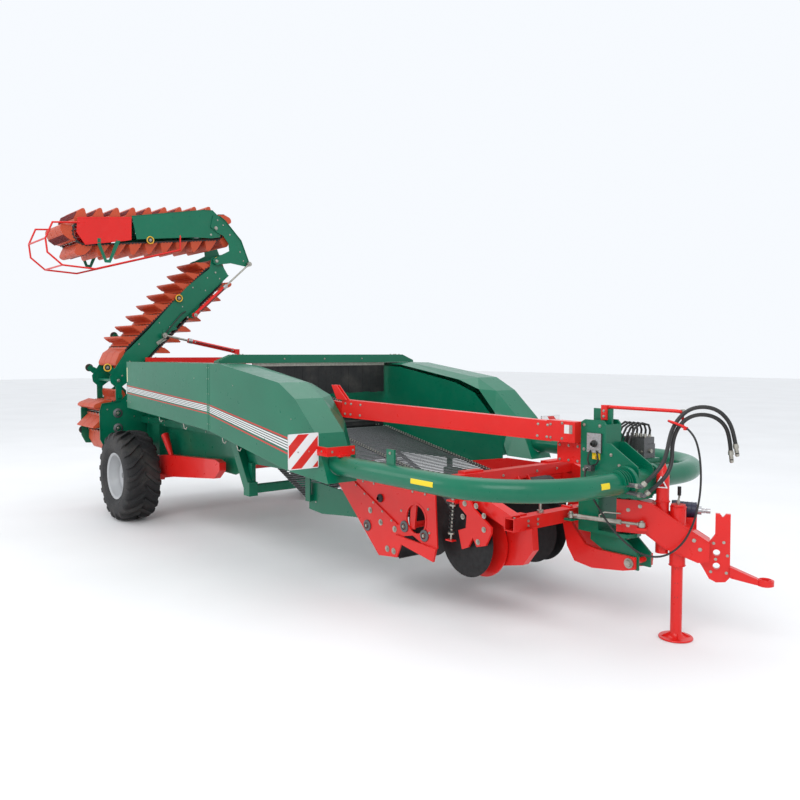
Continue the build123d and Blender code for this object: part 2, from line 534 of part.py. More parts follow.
# discharge section: green part with the bend plates, red end plates
TOP_PLATE = [(-1047, 3735), (-85, 3915), (60, 3925), (150, 3850), (190, 3700), (156, 3575), (34, 3551),
             (-234, 3543), (-989, 3450)]
END_PLATE = [(-1714, 3653), (-1052, 3723), (-1057, 3435), (-1134, 3415), (-1627, 3325), (-1730, 3472)]
tp = None
for x in (EL_X0 - 14, EL_X1 + 14):
    pl = prism_yz(TOP_PLATE, x - EL_T / 2, x + EL_T / 2)
    tp = pl if tp is None else tp + pl
VEE = [(-1482, 3345), (-1395, 3128), (-1325, 3128), (-1198, 3410)]         # bracket to the guard: Y, Z
for x in (EL_X0 - 14, EL_X1 + 14):
    tp = tp + prism_yz([VEE[0], (-1440, 3345), (-1372, 3165), (-1345, 3165), (-1250, 3420), VEE[3], VEE[2], VEE[1]], x - 4, x + 4)
    tp = tp + prism_yz([(-1482, 3420), (-1482, 3345), (-1440, 3345), (-1440, 3420)], x - 4, x + 4)
tp = tp + rod((EL_X0 - 14, TP1[0], TP1[1]), (EL_X1 + 14, TP1[0], TP1[1]), 70)
for x, o in ((EL_X0 - 14, 1), (EL_X1 + 14, -1)):
    tp = tp - rod((x - o * 10, TP1[0], TP1[1]), (x + o * 20, TP1[0], TP1[1]), 30.4)
node("elevator_top_frame", tp)
# elbow plates
ELBOW = [(20, 3700), (60, 3860), (147, 3860), (230, 3806), (468, 3554), (590, 3250), (568, 3200), (311, 3235),
         (98, 3200), (55, 3225), (55, 3275), (98, 3300), (290, 3400), (280, 3500), (200, 3600), (100, 3640)]
elbow = None
for x in (EL_X0 - 28, EL_X1 + 28):
    pl = prism_yz(ELBOW, x - EL_T / 2, x + EL_T / 2)
    pl = pl - rod((x - 10, ELBOW_P[0], ELBOW_P[1]), (x + 10, ELBOW_P[0], ELBOW_P[1]), 20.4)
    elbow = pl if elbow is None else elbow + pl
for x, o in ((EL_X0 - 28, 1), (EL_X1 + 28, -1)):
    elbow = elbow + rod((x, TP1[0], TP1[1]), (x + o * 26, TP1[0], TP1[1]), 30)
elbow = elbow + rod((EL_X0 - 28, 500, 3400), (EL_X1 + 28, 500, 3400), 30)
node("elevator_elbow_frame", elbow)
en = []
for x in (EL_X0 - 14, EL_X1 + 14):
    en.append(prism_yz(END_PLATE, x - EL_T / 2, x + EL_T / 2))
# guard hoops round the discharge end: Y, Z
GUARD = [(-1690, 3590), (-2004, 3563), (-2088, 3368), (-2070, 3204), (-1902, 3063), (-1513, 3041), (-407, 3362), (-407, 3540)]
for x in (EL_X0 - 14, EL_X1 + 14):
    for (ya, za), (yb, zb) in zip(GUARD, GUARD[1:]):
        en.append(rod((x, ya, za), (x, yb, zb), 11))
        en.append(Part(Solid.make_sphere(11, Plane(origin=(x, yb, zb))).wrapped))
for y, z in (GUARD[2], GUARD[4]):
    en.append(rod((EL_X0 - 14, y, z), (EL_X1 + 14, y, z), 11))
node("discharge_end_frame", *en, rod((EL_X0 - 14, TP0[0], TP0[1]), (EL_X1 + 14, TP0[0], TP0[1]), 70))

# ---------------------------------------------------------------- cylinders
def cylinder(c, e, length, r_out, r_rod, pin_back):
    """Barrel with an eye at c and rod with an eye and pin at e, both in the plane of the elevator's front."""
    c, e = Vector(CYL_X, *c), Vector(CYL_X, *e)
    d = (e - c).normalized()
    eye = rod((CYL_X - 22, c.Y, c.Z), (CYL_X + 22, c.Y, c.Z), 32)
    b = eye + rod(tuple(c + d * 20), tuple(c + d * length), r_out)
    b = b - rod(tuple(c + d * 70), tuple(c + d * (length + 5)), r_rod + 0.5)
    b = b - rod((CYL_X - 40, c.Y, c.Z), (CYL_X + 40, c.Y, c.Z), 15.3)
    full = (e - c).length
    rr = rod(tuple(c + d * (length - 130)), tuple(e), r_rod)
    rr = rr + rod((CYL_X - 22, e.Y, e.Z), (CYL_X + 22, e.Y, e.Z), 32)
    rr = rr + rod((CYL_X - pin_back, e.Y, e.Z), (CYL_X + 30, e.Y, e.Z), 15)
    print("cylinder", full, length)
    return b, rr


fb, fr = cylinder(FOLD_B, FOLD_T, 620, 26, 12, 28)
node("fold_cylinder_barrel", fb)
node("fold_cylinder_rod", fr)
lb, lr = cylinder(LIFT_C, LIFT_S, 706, 30, 14, 66)
node("lift_cylinder_barrel", lb)
node("lift_cylinder_rod", lr)
# screw strut between headstock and drawbar
J, L = Vector(*STRUT_J, STRUT_Z), Vector(*db(STRUT_L[0], STRUT_L[1], STRUT_Z))
d = (L - J).normalized()
st = rod((J.X, J.Y, STRUT_Z - 16), (J.X, J.Y, STRUT_Z + 16), 22) + rod(tuple(J + d * 13), tuple(J + d * 385), 17)
st = st - rod(tuple(J + d * 60), tuple(J + d * 390), 11.4) - rod((J.X, J.Y, 700), (J.X, J.Y, 900), 12.3)
node("strut_tube", st)
sc = rod(tuple(J + d * 270), tuple(L), 11) + rod((L.X, L.Y, STRUT_Z - 16), (L.X, L.Y, STRUT_Z + 16), 26)
node("strut_screw", sc)

# ---------------------------------------------------------------- drawbar
def db_prism(pts, w0, w1):
    """Outline in the drawbar's own vertical plane, w0 to w1 to its left."""
    f = poly([db(s, w0, z) for s, z in pts])
    a = math.radians(DB_DEG)
    return Part(extrude(f, amount=abs(w1 - w0), dir=(-math.sin(a), math.cos(a), 0)).wrapped)


beam = db_prism([(-60, 740), (-60, 972), (80, 972), (177, 955), (407, 805), (560, 712), (560, 580), (491, 566),
                 (264, 649), (144, 735)], -75, 75)
beam = beam + rod(db(JACK_S, 0, 520), db(JACK_S, 0, 935), 54)
beam = beam - rod(db(JACK_S, 0, 500), db(JACK_S, 0, 1000), JACK_R + 0.6)
beam = beam - rod(db(0, 0, 700), db(0, 0, 1000), 25.3)
beam = beam + db_prism([(85, 780), (85, 796), (155, 796), (155, 780)], -175, -74)
beam = beam + db_prism([(300, 800), (300, 846), (470, 846), (470, 760)], 74, 200)
node("drawbar", beam)
node("drawbar_post", rod(db(245, 0, 600), db(245, 0, 1150), 44) + Part(Solid.make_cone(44, 12, 90, Plane(origin=db(245, 0, 1150))).wrapped)
     - rod(db(JACK_S, 0, 500), db(JACK_S, 0, 1000), 55) )
plate = db_prism([(491, 566), (480, 640), (561, 712), (593, 760), (593, 905), (620, 905), (640, 880), (660, 905),
                  (690, 905), (693, 470), (665, 436), (606, 428), (560, 450), (520, 520)], -18, 18)
plate = plate - beam
for z in (635, 543):
    plate = plate - rod(db(605, -40, z), db(605, 40, z), 23)
node("hitch_plate", plate)
arm = db_prism([(694, 470), (694, 545), (860, 480), (880, 470), (880, 440), (860, 440)], -30, 30)
eye = rod(db(915, 0, 437), db(915, 0, 473), 55)
arm = arm + eye - rod(db(915, 0, 400), db(915, 0, 520), 25)
node("towing_eye", arm)
foot = rod(db(JACK_S, 0, 14), db(JACK_S, 0, 870), JACK_R) + rod(db(JACK_S, 0, 0), db(JACK_S, 0, 14), 118)
foot = foot + Part(Solid.make_cone(70, JACK_R, 40, Plane(origin=db(JACK_S, 0, 14))).wrapped)
node("stand_leg", foot)
# thin return hose: from the control panel down beside the drawbar in a loop and up to the hoop
ROUTE_3 = [LOOP_0, (5932, -221.5, 1148.8), (5990, -262, 1045), (6066, -250, 950), (6152, -212, 800), (6240, -152, 687), (6340, -85, 605),
           (6450, -5, 602), (6545, 60, 690), (6606, 92, 830), (6638, 108, 985), (6650, 112, 1140), (6640, 112, 1290),
           (6612, 114, 1400), (6572, 116, 1462), (6534, 118, 1489)]
hose("hose_loop", ROUTE_3, 14)
# drive shaft stub on a bearing beside the drawbar
node("shaft_bearing", pipe(db(320, 140, 890), db(460, 140, 890), 44, 22.5))
node("drive_shaft", rod(db(290, 140, 890), db(560, 140, 890), 17.5), rod(db(462, 140, 890), db(500, 140, 890), 30))

# ---------------------------------------------------------------- digging unit
dig = None
SIDE = [(3640, 905), (4150, 985), (5060, 985), (5088, 533), (4985, 512), (4800, 585), (4690, 560), (4601, 372),
        (4364, 344), (3770, 878)]
BRACKET = [(5240, 960), (5325, 960), (5400, 870), (5570, 765), (5570, 725), (5515, 625), (5425, 600), (5385, 660),
           (5335, 580), (5270, 555), (5230, 690), (5310, 720), (5320, 815), (5240, 870)]
SHANK = [(5560, 735), (5800, 775), (5815, 620), (5720, 500), (5500, 450), (5450, 500), (5560, 620)]
for sd in (-1, 1):
    sp = prism_xz(SIDE, sd * 860, sd * 872)
    sp = sp - rod((4840, sd * 850, 720), (4840, sd * 880, 720), 120)                       # round window
    sp = sp + prism_xz([(3990, 934), (4020, 915), (4625, 640), (4600, 655)], sd * 872, sd * 884)   # stiffener
    sp = sp + prism_xz([(4600, 560), (4640, 500), (5060, 430), (5090, 533), (4985, 540)], sd * 872, sd * 890)
    sp = sp + prism_xz([(4700, 985), (4700, 880), (5120, 980), (5120, 1075), (5000, 1075)], sd * 860, sd * 872)
    sp = sp + bar((5080, sd * 694, 1020), (5705, sd * 694, 815), 88, 105)
    sp = sp + prism_xz(BRACKET, sd * 770, sd * 790)
    sp = sp + prism_xz(BRACKET[:2] + [(5325, 912), (5240, 912)], sd * 650, sd * 771)
    sp = sp + prism_xz([(5290, 605), (5370, 605), (5370, 940), (5290, 940)], sd * 630, sd * 660)
    sp = sp + prism_xz([(4752, 632), (4808, 632), (4850, 990), (4770, 990)], sd * 846, sd * 861)
    # red depth disc beside each outer coulter, and the shank that carries the second row
    sp = sp + rod((5330, sd * 640, 605), (5330, sd * 650, 605), 262) + rod((5330, sd * 560, 605), (5330, sd * 655, 605), 40)
    sp = sp + prism_xz(SHANK, sd * 560, sd * 620) + prism_xz([(5640, 700), (5700, 700), (5700, 860), (5640, 860)], sd * 560, sd * 620)
    # pull arms to the cross pivot
    sp = sp + prism_xz([(5640, 860), (5725, 860), (5740, 740), (5790, 680), (5870, 600), (5980, 585), (6290, 585), (6290, 500),
                        (6200, 475), (5930, 440), (5770, 460), (5700, 560), (5640, 790)], sd * 86, sd * 112)
    sp = sp + bar((5000, sd * 480, 1030), (5080, sd * 480, 1030), 200, 120)
    dig = sp if dig is None else dig + sp
dig = dig + box(5040, 5120, -872, 872, 985, 1075)
dig = dig + box(5655, 5750, -745, 745, 755, 850) - box(5663, 5742, -750, -560, 763, 842) - box(5663, 5742, 560, 750, 763, 842)
dig = dig + rod((DIG_P[0], -112, DIG_P[1]), (DIG_P[0], 112, DIG_P[1]), 19.6)
for y in (-750, -60, 60, 750):
    dig = dig + prism_xz([(5050, 1030), (5110, 1030), (5330, 700), (5330, 590), (5230, 590), (5210, 680)], y + 22, y + 34)
    dig = dig + rod((5280, y + 34, 620), (5280, y - 8, 620), 16)
dig = dig + rod((4780, -861, 660), (4780, 861, 660), 25)
node("digging_frame", dig)
# share blades between the side plates: cutting edge forward and low
node("digging_share", prism_xz([(4350, 515), (4362, 524), (4640, 372), (4615, 360)], -860, 860))
discs = []
for i, y in enumerate((-750, -60, 60, 750)):
    c = (5280, y, 620)
    d = rod((c[0], y - 4, c[2]), (c[0], y + 4, c[2]), DISC_R) + rod((c[0], y - 8, c[2]), (c[0], y + 16, c[2]), 45)
    node(f"disc_coulter_{i + 1}", d - rod((c[0], y - 20, c[2]), (c[0], y + 30, c[2]), 16.4))
for i, y in enumerate((-375, 375)):
    zc, r = 660.0, 265.0
    pts = [(y - 300, zc + r), (y - 140, zc + r - 80), (y + 140, zc + r - 80), (y + 300, zc + r), (y + 300, zc + 25.4),
           (y - 300, zc + 25.4)]
    f = poly([(4780, a, b) for a, b in pts])
    dr = Part(revolve(f, axis=Axis((4780, y, zc), (0, 1, 0)), revolution_arc=360).wrapped)
    node(f"ridge_roller_{i + 1}", dr)

# ---------------------------------------------------------------- trim overlaps between pieces of one body
BODIES = {
    "frame": ["main_frame", "web_side_arms", "axle_beam", "rear_panel_right", "rear_panel_left", "front_hood_right",
              "front_hood_left", "top_cross_beam", "rear_cross_beam", "haulm_curtain", "conveyor_rollers",
              "front_sieving_web", "rear_sieving_web", "cross_conveyor_belt",
              "ring_drawbar", "headstock", "valve_block", "gearbox", "brace_beam",
              "hose_guide", "hose_1", "hose_2", "hose_couplers", "hose_loop", "board_brackets", "warning_boards", "rear_lamps", "elevator_base", "elevator_base_belt"],
    "slope": ["elevator_slope_frame", "elevator_slope_belt"],
    "top": ["elevator_top_frame", "discharge_end_frame", "elevator_top_belt"],
    "drawbar": ["drawbar", "drawbar_post", "hitch_plate", "towing_eye", "shaft_bearing"],
    "dig": ["digging_frame", "digging_share"],
}


def near(a, b, gap=0.0):
    A, B = a.bounding_box(), b.bounding_box()
    return all(getattr(A.min, k) < getattr(B.max, k) + gap and getattr(B.min, k) < getattr(A.max, k) + gap
               for k in "XYZ")


for names in BODIES.values():
    for i, b in enumerate(names):
        for a in names[:i]:
            if not near(NODES[a], NODES[b]):
                continue
            v = NODES[a] & NODES[b]
            vol = 0 if v is None else sum(s.volume for s in v.solids()) if hasattr(v, "solids") else 0
            if vol > 1:
                cut = NODES[b] - NODES[a]
                keep = [s for s in cut.solids() if s.volume > 500]
                NODES[b] = Compound(children=keep) if len(keep) > 1 else Part(keep[0].wrapped)
                print("trimmed", b, "by", a, round(vol), "left", len(keep))

lo = [min(getattr(q.bounding_box().min, k) for n, q in NODES.items() if not n.startswith("hose_") or n == "hose_guide") for k in "XYZ"]
hi = [max(getattr(q.bounding_box().max, k) for n, q in NODES.items() if not n.startswith("hose_") or n == "hose_guide") for k in "XYZ"]
print("footprint middle", [round((a + b) / 2, 2) for a, b in zip(lo, hi)], "box", lo, hi)
for name, shape in NODES.items():
    sol = [Part((Pos(-ORIGIN[0], -ORIGIN[1], 0) * q).wrapped) for q in shape.solids()]
    export_step(Compound(children=sol) if len(sol) > 1 else sol[0], f"parts/{name}.step")
print(len(NODES), "nodes")
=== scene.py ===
import bpy
import bmesh
import math
import json
import random
from mathutils import Matrix, Vector


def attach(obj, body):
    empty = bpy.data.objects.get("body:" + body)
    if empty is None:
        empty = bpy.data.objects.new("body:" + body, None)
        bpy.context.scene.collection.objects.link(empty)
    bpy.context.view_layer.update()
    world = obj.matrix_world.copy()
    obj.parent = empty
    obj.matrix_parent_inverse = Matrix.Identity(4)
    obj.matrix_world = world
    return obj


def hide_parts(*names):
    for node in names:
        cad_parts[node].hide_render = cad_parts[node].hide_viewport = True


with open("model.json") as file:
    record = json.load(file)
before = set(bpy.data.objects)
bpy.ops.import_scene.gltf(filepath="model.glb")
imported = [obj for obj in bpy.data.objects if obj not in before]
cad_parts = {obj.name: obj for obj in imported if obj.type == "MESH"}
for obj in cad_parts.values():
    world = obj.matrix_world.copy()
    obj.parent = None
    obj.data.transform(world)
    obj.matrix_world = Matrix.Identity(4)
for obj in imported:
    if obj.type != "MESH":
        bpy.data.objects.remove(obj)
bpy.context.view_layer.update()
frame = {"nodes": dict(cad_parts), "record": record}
N = frame["nodes"]
rng = random.Random(7)
V = Vector
OFF = V((-2.83147, 0.2435, 0))     # from the wheels' axis to the row frame's origin

# ------------------------------------------------------------------ camera
YAW, PITCH = math.radians(38.8), math.radians(3.32)
ct, st, cp, sp = math.cos(YAW), math.sin(YAW), math.cos(PITCH), math.sin(PITCH)
a_ = V((-ct * cp, st * cp, -sp))
r_ = V((st, ct, 0))
u_ = r_.cross(a_)
cam_data = bpy.data.cameras.new("camera")
cam_data.lens = 36.0
cam_data.sensor_width = 36.0
cam_data.sensor_fit = "HORIZONTAL"
cam_data.clip_start = 0.1
cam_data.clip_end = 200
cam = bpy.data.objects.new("camera", cam_data)
bpy.context.scene.collection.objects.link(cam)
m = Matrix.Identity(4)
for i, c in enumerate((r_, u_, -a_)):
    for j in range(3):
        m[j][i] = c[j]
m.translation = V((9.54, -4.81, 2.00)) + OFF
cam.matrix_world = m
bpy.context.scene.camera = cam


# ------------------------------------------------------------------ materials
def mat(name):
    mt = bpy.data.materials.new(name)
    mt.use_nodes = True
    nt = mt.node_tree
    nt.nodes.clear()
    out = nt.nodes.new("ShaderNodeOutputMaterial")
    b = nt.nodes.new("ShaderNodeBsdfPrincipled")
    nt.links.new(b.outputs["BSDF"], out.inputs["Surface"])
    tc = nt.nodes.new("ShaderNodeTexCoord")
    return mt, nt, b, tc


def noise(nt, tc, scale, detail=4, rough=0.5, coord="Object", stretch=None):
    n = nt.nodes.new("ShaderNodeTexNoise")
    n.inputs["Scale"].default_value = scale
    n.inputs["Detail"].default_value = detail
    n.inputs["Roughness"].default_value = rough
    if stretch:
        mp = nt.nodes.new("ShaderNodeMapping")
        mp.inputs["Scale"].default_value = stretch
        nt.links.new(tc.outputs[coord], mp.inputs["Vector"])
        nt.links.new(mp.outputs["Vector"], n.inputs["Vector"])
    else:
        nt.links.new(tc.outputs[coord], n.inputs["Vector"])
    return n


def ramp(nt, src, stops):
    r = nt.nodes.new("ShaderNodeValToRGB")
    e = r.color_ramp.elements
    while len(e) < len(stops):
        e.new(0.5)
    for i, (p, c) in enumerate(stops):
        e[i].position = p
        e[i].color = (*c, 1) if len(c) == 3 else c
    nt.links.new(src, r.inputs["Fac"])
    return r


def grey(v):
    return (v, v, v)


def bump(nt, b, src, strength, dist):
    bp = nt.nodes.new("ShaderNodeBump")
    bp.inputs["Strength"].default_value = strength
    bp.inputs["Distance"].default_value = dist
    nt.links.new(src, bp.inputs["Height"])
    nt.links.new(bp.outputs["Normal"], b.inputs["Normal"])
    return bp


def mix(nt, fac, c1, c2):
    mx = nt.nodes.new("ShaderNodeMix")
    mx.data_type = "RGBA"
    for sock, v in (("A", c1), ("B", c2)):
        s = [i for i in mx.inputs if i.name == sock and i.type == "RGBA"][0]
        if isinstance(v, tuple):
            s.default_value = (*v, 1)
        else:
            nt.links.new(v, s)
    f = mx.inputs["Factor"]
    if isinstance(fac, (int, float)):
        f.default_value = fac
    else:
        nt.links.new(fac, f)
    return [o for o in mx.outputs if o.type == "RGBA"][0]


def paint(name, col, dark=0.82, rough=0.26, dust=0.03, coat=0.16):
    """Sprayed machine paint: slight colour drift, orange peel, faint dust in random patches."""
    mt, nt, b, tc = mat(name)
    n1 = noise(nt, tc, 1.7, 5, 0.55)
    c1 = ramp(nt, n1.outputs["Fac"], [(0.3, tuple(v * dark for v in col)), (0.7, col)])
    n2 = noise(nt, tc, 14, 6, 0.65)
    d = ramp(nt, n2.outputs["Fac"], [(0.50, grey(0)), (0.82, grey(dust))])
    base = mix(nt, d.outputs["Color"], c1.outputs["Color"], (0.33, 0.30, 0.25))
    nt.links.new(base, b.inputs["Base Color"])
    rr = ramp(nt, n2.outputs["Fac"], [(0.3, grey(rough)), (0.8, grey(rough + 0.16))])
    nt.links.new(rr.outputs["Color"], b.inputs["Roughness"])
    n3 = noise(nt, tc, 160, 2, 0.5)
    bump(nt, b, n3.outputs["Fac"], 0.06, 0.002)
    b.inputs["Coat Weight"].default_value = coat
    b.inputs["Specular IOR Level"].default_value = 0.30
    b.inputs["Coat Roughness"].default_value = 0.06
    return mt


def metal(name, col, rough=0.35, scratch=60, strength=0.15, dark=0.6, stretch=None, metallic=1.0):
    mt, nt, b, tc = mat(name)
    n1 = noise(nt, tc, scratch, 6, 0.65, stretch=stretch)
    c1 = ramp(nt, n1.outputs["Fac"], [(0.3, tuple(v * dark for v in col)), (0.75, col)])
    nt.links.new(c1.outputs["Color"], b.inputs["Base Color"])
    b.inputs["Metallic"].default_value = metallic
    rr = ramp(nt, n1.outputs["Fac"], [(0.3, grey(rough + 0.15)), (0.8, grey(rough))])
    nt.links.new(rr.outputs["Color"], b.inputs["Roughness"])
    bump(nt, b, n1.outputs["Fac"], strength, 0.001)
    return mt


def rubber(name, col, rough=0.62, scale=45, dusty=0.25, strength=0.25, dustcol=(0.16, 0.14, 0.12)):
    mt, nt, b, tc = mat(name)
    n1 = noise(nt, tc, 5, 5, 0.6)
    d = ramp(nt, n1.outputs["Fac"], [(0.45, grey(0)), (0.8, grey(dusty))])
    base = mix(nt, d.outputs["Color"], tuple(col), dustcol)
    nt.links.new(base, b.inputs["Base Color"])
    n2 = noise(nt, tc, scale, 5, 0.6)
    rr = ramp(nt, n2.outputs["Fac"], [(0.3, grey(rough - 0.1)), (0.8, grey(min(1, rough + 0.15)))])
    nt.links.new(rr.outputs["Color"], b.inputs["Roughness"])
    bump(nt, b, n2.outputs["Fac"], strength, 0.002)
    return mt


GREEN = (0.0, 0.150, 0.078)
RED = (0.74, 0.013, 0.010)
M = {
    "green": paint("green_paint", GREEN),
    "green_dark": paint("green_paint_inside", (0.0, 0.035, 0.018), rough=0.4, dust=0.2, coat=0.05),
    "red": paint("red_paint", RED, dark=0.85),
    "flight": rubber("flight_rubber_orange", (0.52, 0.060, 0.014), 0.5, 60, 0.12, 0.15, (0.3, 0.12, 0.06)),
    # darker red copy of the orange flight rubber: painted shade for the shaded backs of the scoop flights
    "flight_painted_shade": rubber("flight_rubber_painted_shade", (0.16, 0.012, 0.014), 0.6, 60, 0.2, 0.2, (0.10, 0.05, 0.05)),
    "rubber": rubber("black_rubber", (0.012, 0.012, 0.013)),
    "tyre": rubber("tyre_rubber", (0.010, 0.010, 0.011), 0.7, 90, 0.22, 0.3),
    "hose": rubber("hose_rubber", (0.012, 0.012, 0.012), 0.45, 220, 0.1, 0.3),
    "zinc": metal("zinc_plate", (0.52, 0.50, 0.44), 0.34, 40),
    "steel": metal("bright_steel", (0.55, 0.55, 0.56), 0.3, 60),
    "webrod": metal("web_rod_steel", (0.30, 0.30, 0.31), 0.38, 90, dark=0.45),
    "webrod_dark": metal("web_rod_rubbered", (0.035, 0.034, 0.036), 0.45, 90, dark=0.5, metallic=0.6),
    "disc": metal("black_disc_steel", (0.030, 0.029, 0.030), 0.42, 25, metallic=0.7),
    "rim": paint("silver_rim_paint", (0.46, 0.47, 0.48), rough=0.34, dust=0.2, coat=0.1),
    "cast": metal("grey_casting", (0.20, 0.20, 0.205), 0.5, 120, 0.35, metallic=0.8),
    "yellow": rubber("yellow_plastic", (0.75, 0.42, 0.02), 0.4, 40, 0.1, 0.08, (0.5, 0.35, 0.1)),
    "blank_yellow": paint("blank_yellow_film", (0.80, 0.60, 0.01), dark=0.95, rough=0.35, dust=0.05, coat=0.2),
    "blank_white": paint("blank_white_film", (0.72, 0.73, 0.72), dark=0.95, rough=0.35, dust=0.05, coat=0.2),
    "guard_blue": rubber("dark_blue_guard", (0.012, 0.014, 0.045), 0.4, 60, 0.15, 0.1),
    "lamp": paint("red_lamp_lens", (0.35, 0.006, 0.006), rough=0.15, dust=0.1, coat=0.6),
    "amber": paint("amber_reflector", (0.85, 0.20, 0.01), rough=0.15, dust=0.05, coat=0.6),
}


M["stripe_red"] = paint("stripe_film_red", (0.55, 0.03, 0.02), dark=0.95, rough=0.35, dust=0.05, coat=0.2)
M["pale_yellow"] = paint("pale_yellow_film", (0.80, 0.76, 0.45), dark=0.95, rough=0.35, dust=0.05, coat=0.2)
M["board_red"] = paint("board_film_red", (0.66, 0.025, 0.02), dark=0.92, rough=0.3, dust=0.05, coat=0.3)
M["board_white"] = paint("board_film_white", (0.80, 0.81, 0.81), dark=0.95, rough=0.3, dust=0.05, coat=0.3)
M["board"] = metal("board_back_sheet", (0.55, 0.55, 0.56), 0.4, 60)

SLOT = {s["node"]: s["material_slot"] for s in frame["record"]["subparts"]}
BY_SLOT = {"green_paint": "green", "red_paint": "red", "silver_paint": "rim", "zinc": "zinc", "steel_rod": "webrod",
           "bare_disc": "disc", "tyre": "tyre", "black_rubber": "rubber", "flight_rubber": "flight", "board": "board",
           "lamp": "lamp", "hydraulics": "cast"}
for n, o in N.items():
    k = BY_SLOT[SLOT[n]]
    o.data.materials.clear()
    o.data.materials.append(M[k])
    for p in o.data.polygons:
        p.material_index = 0

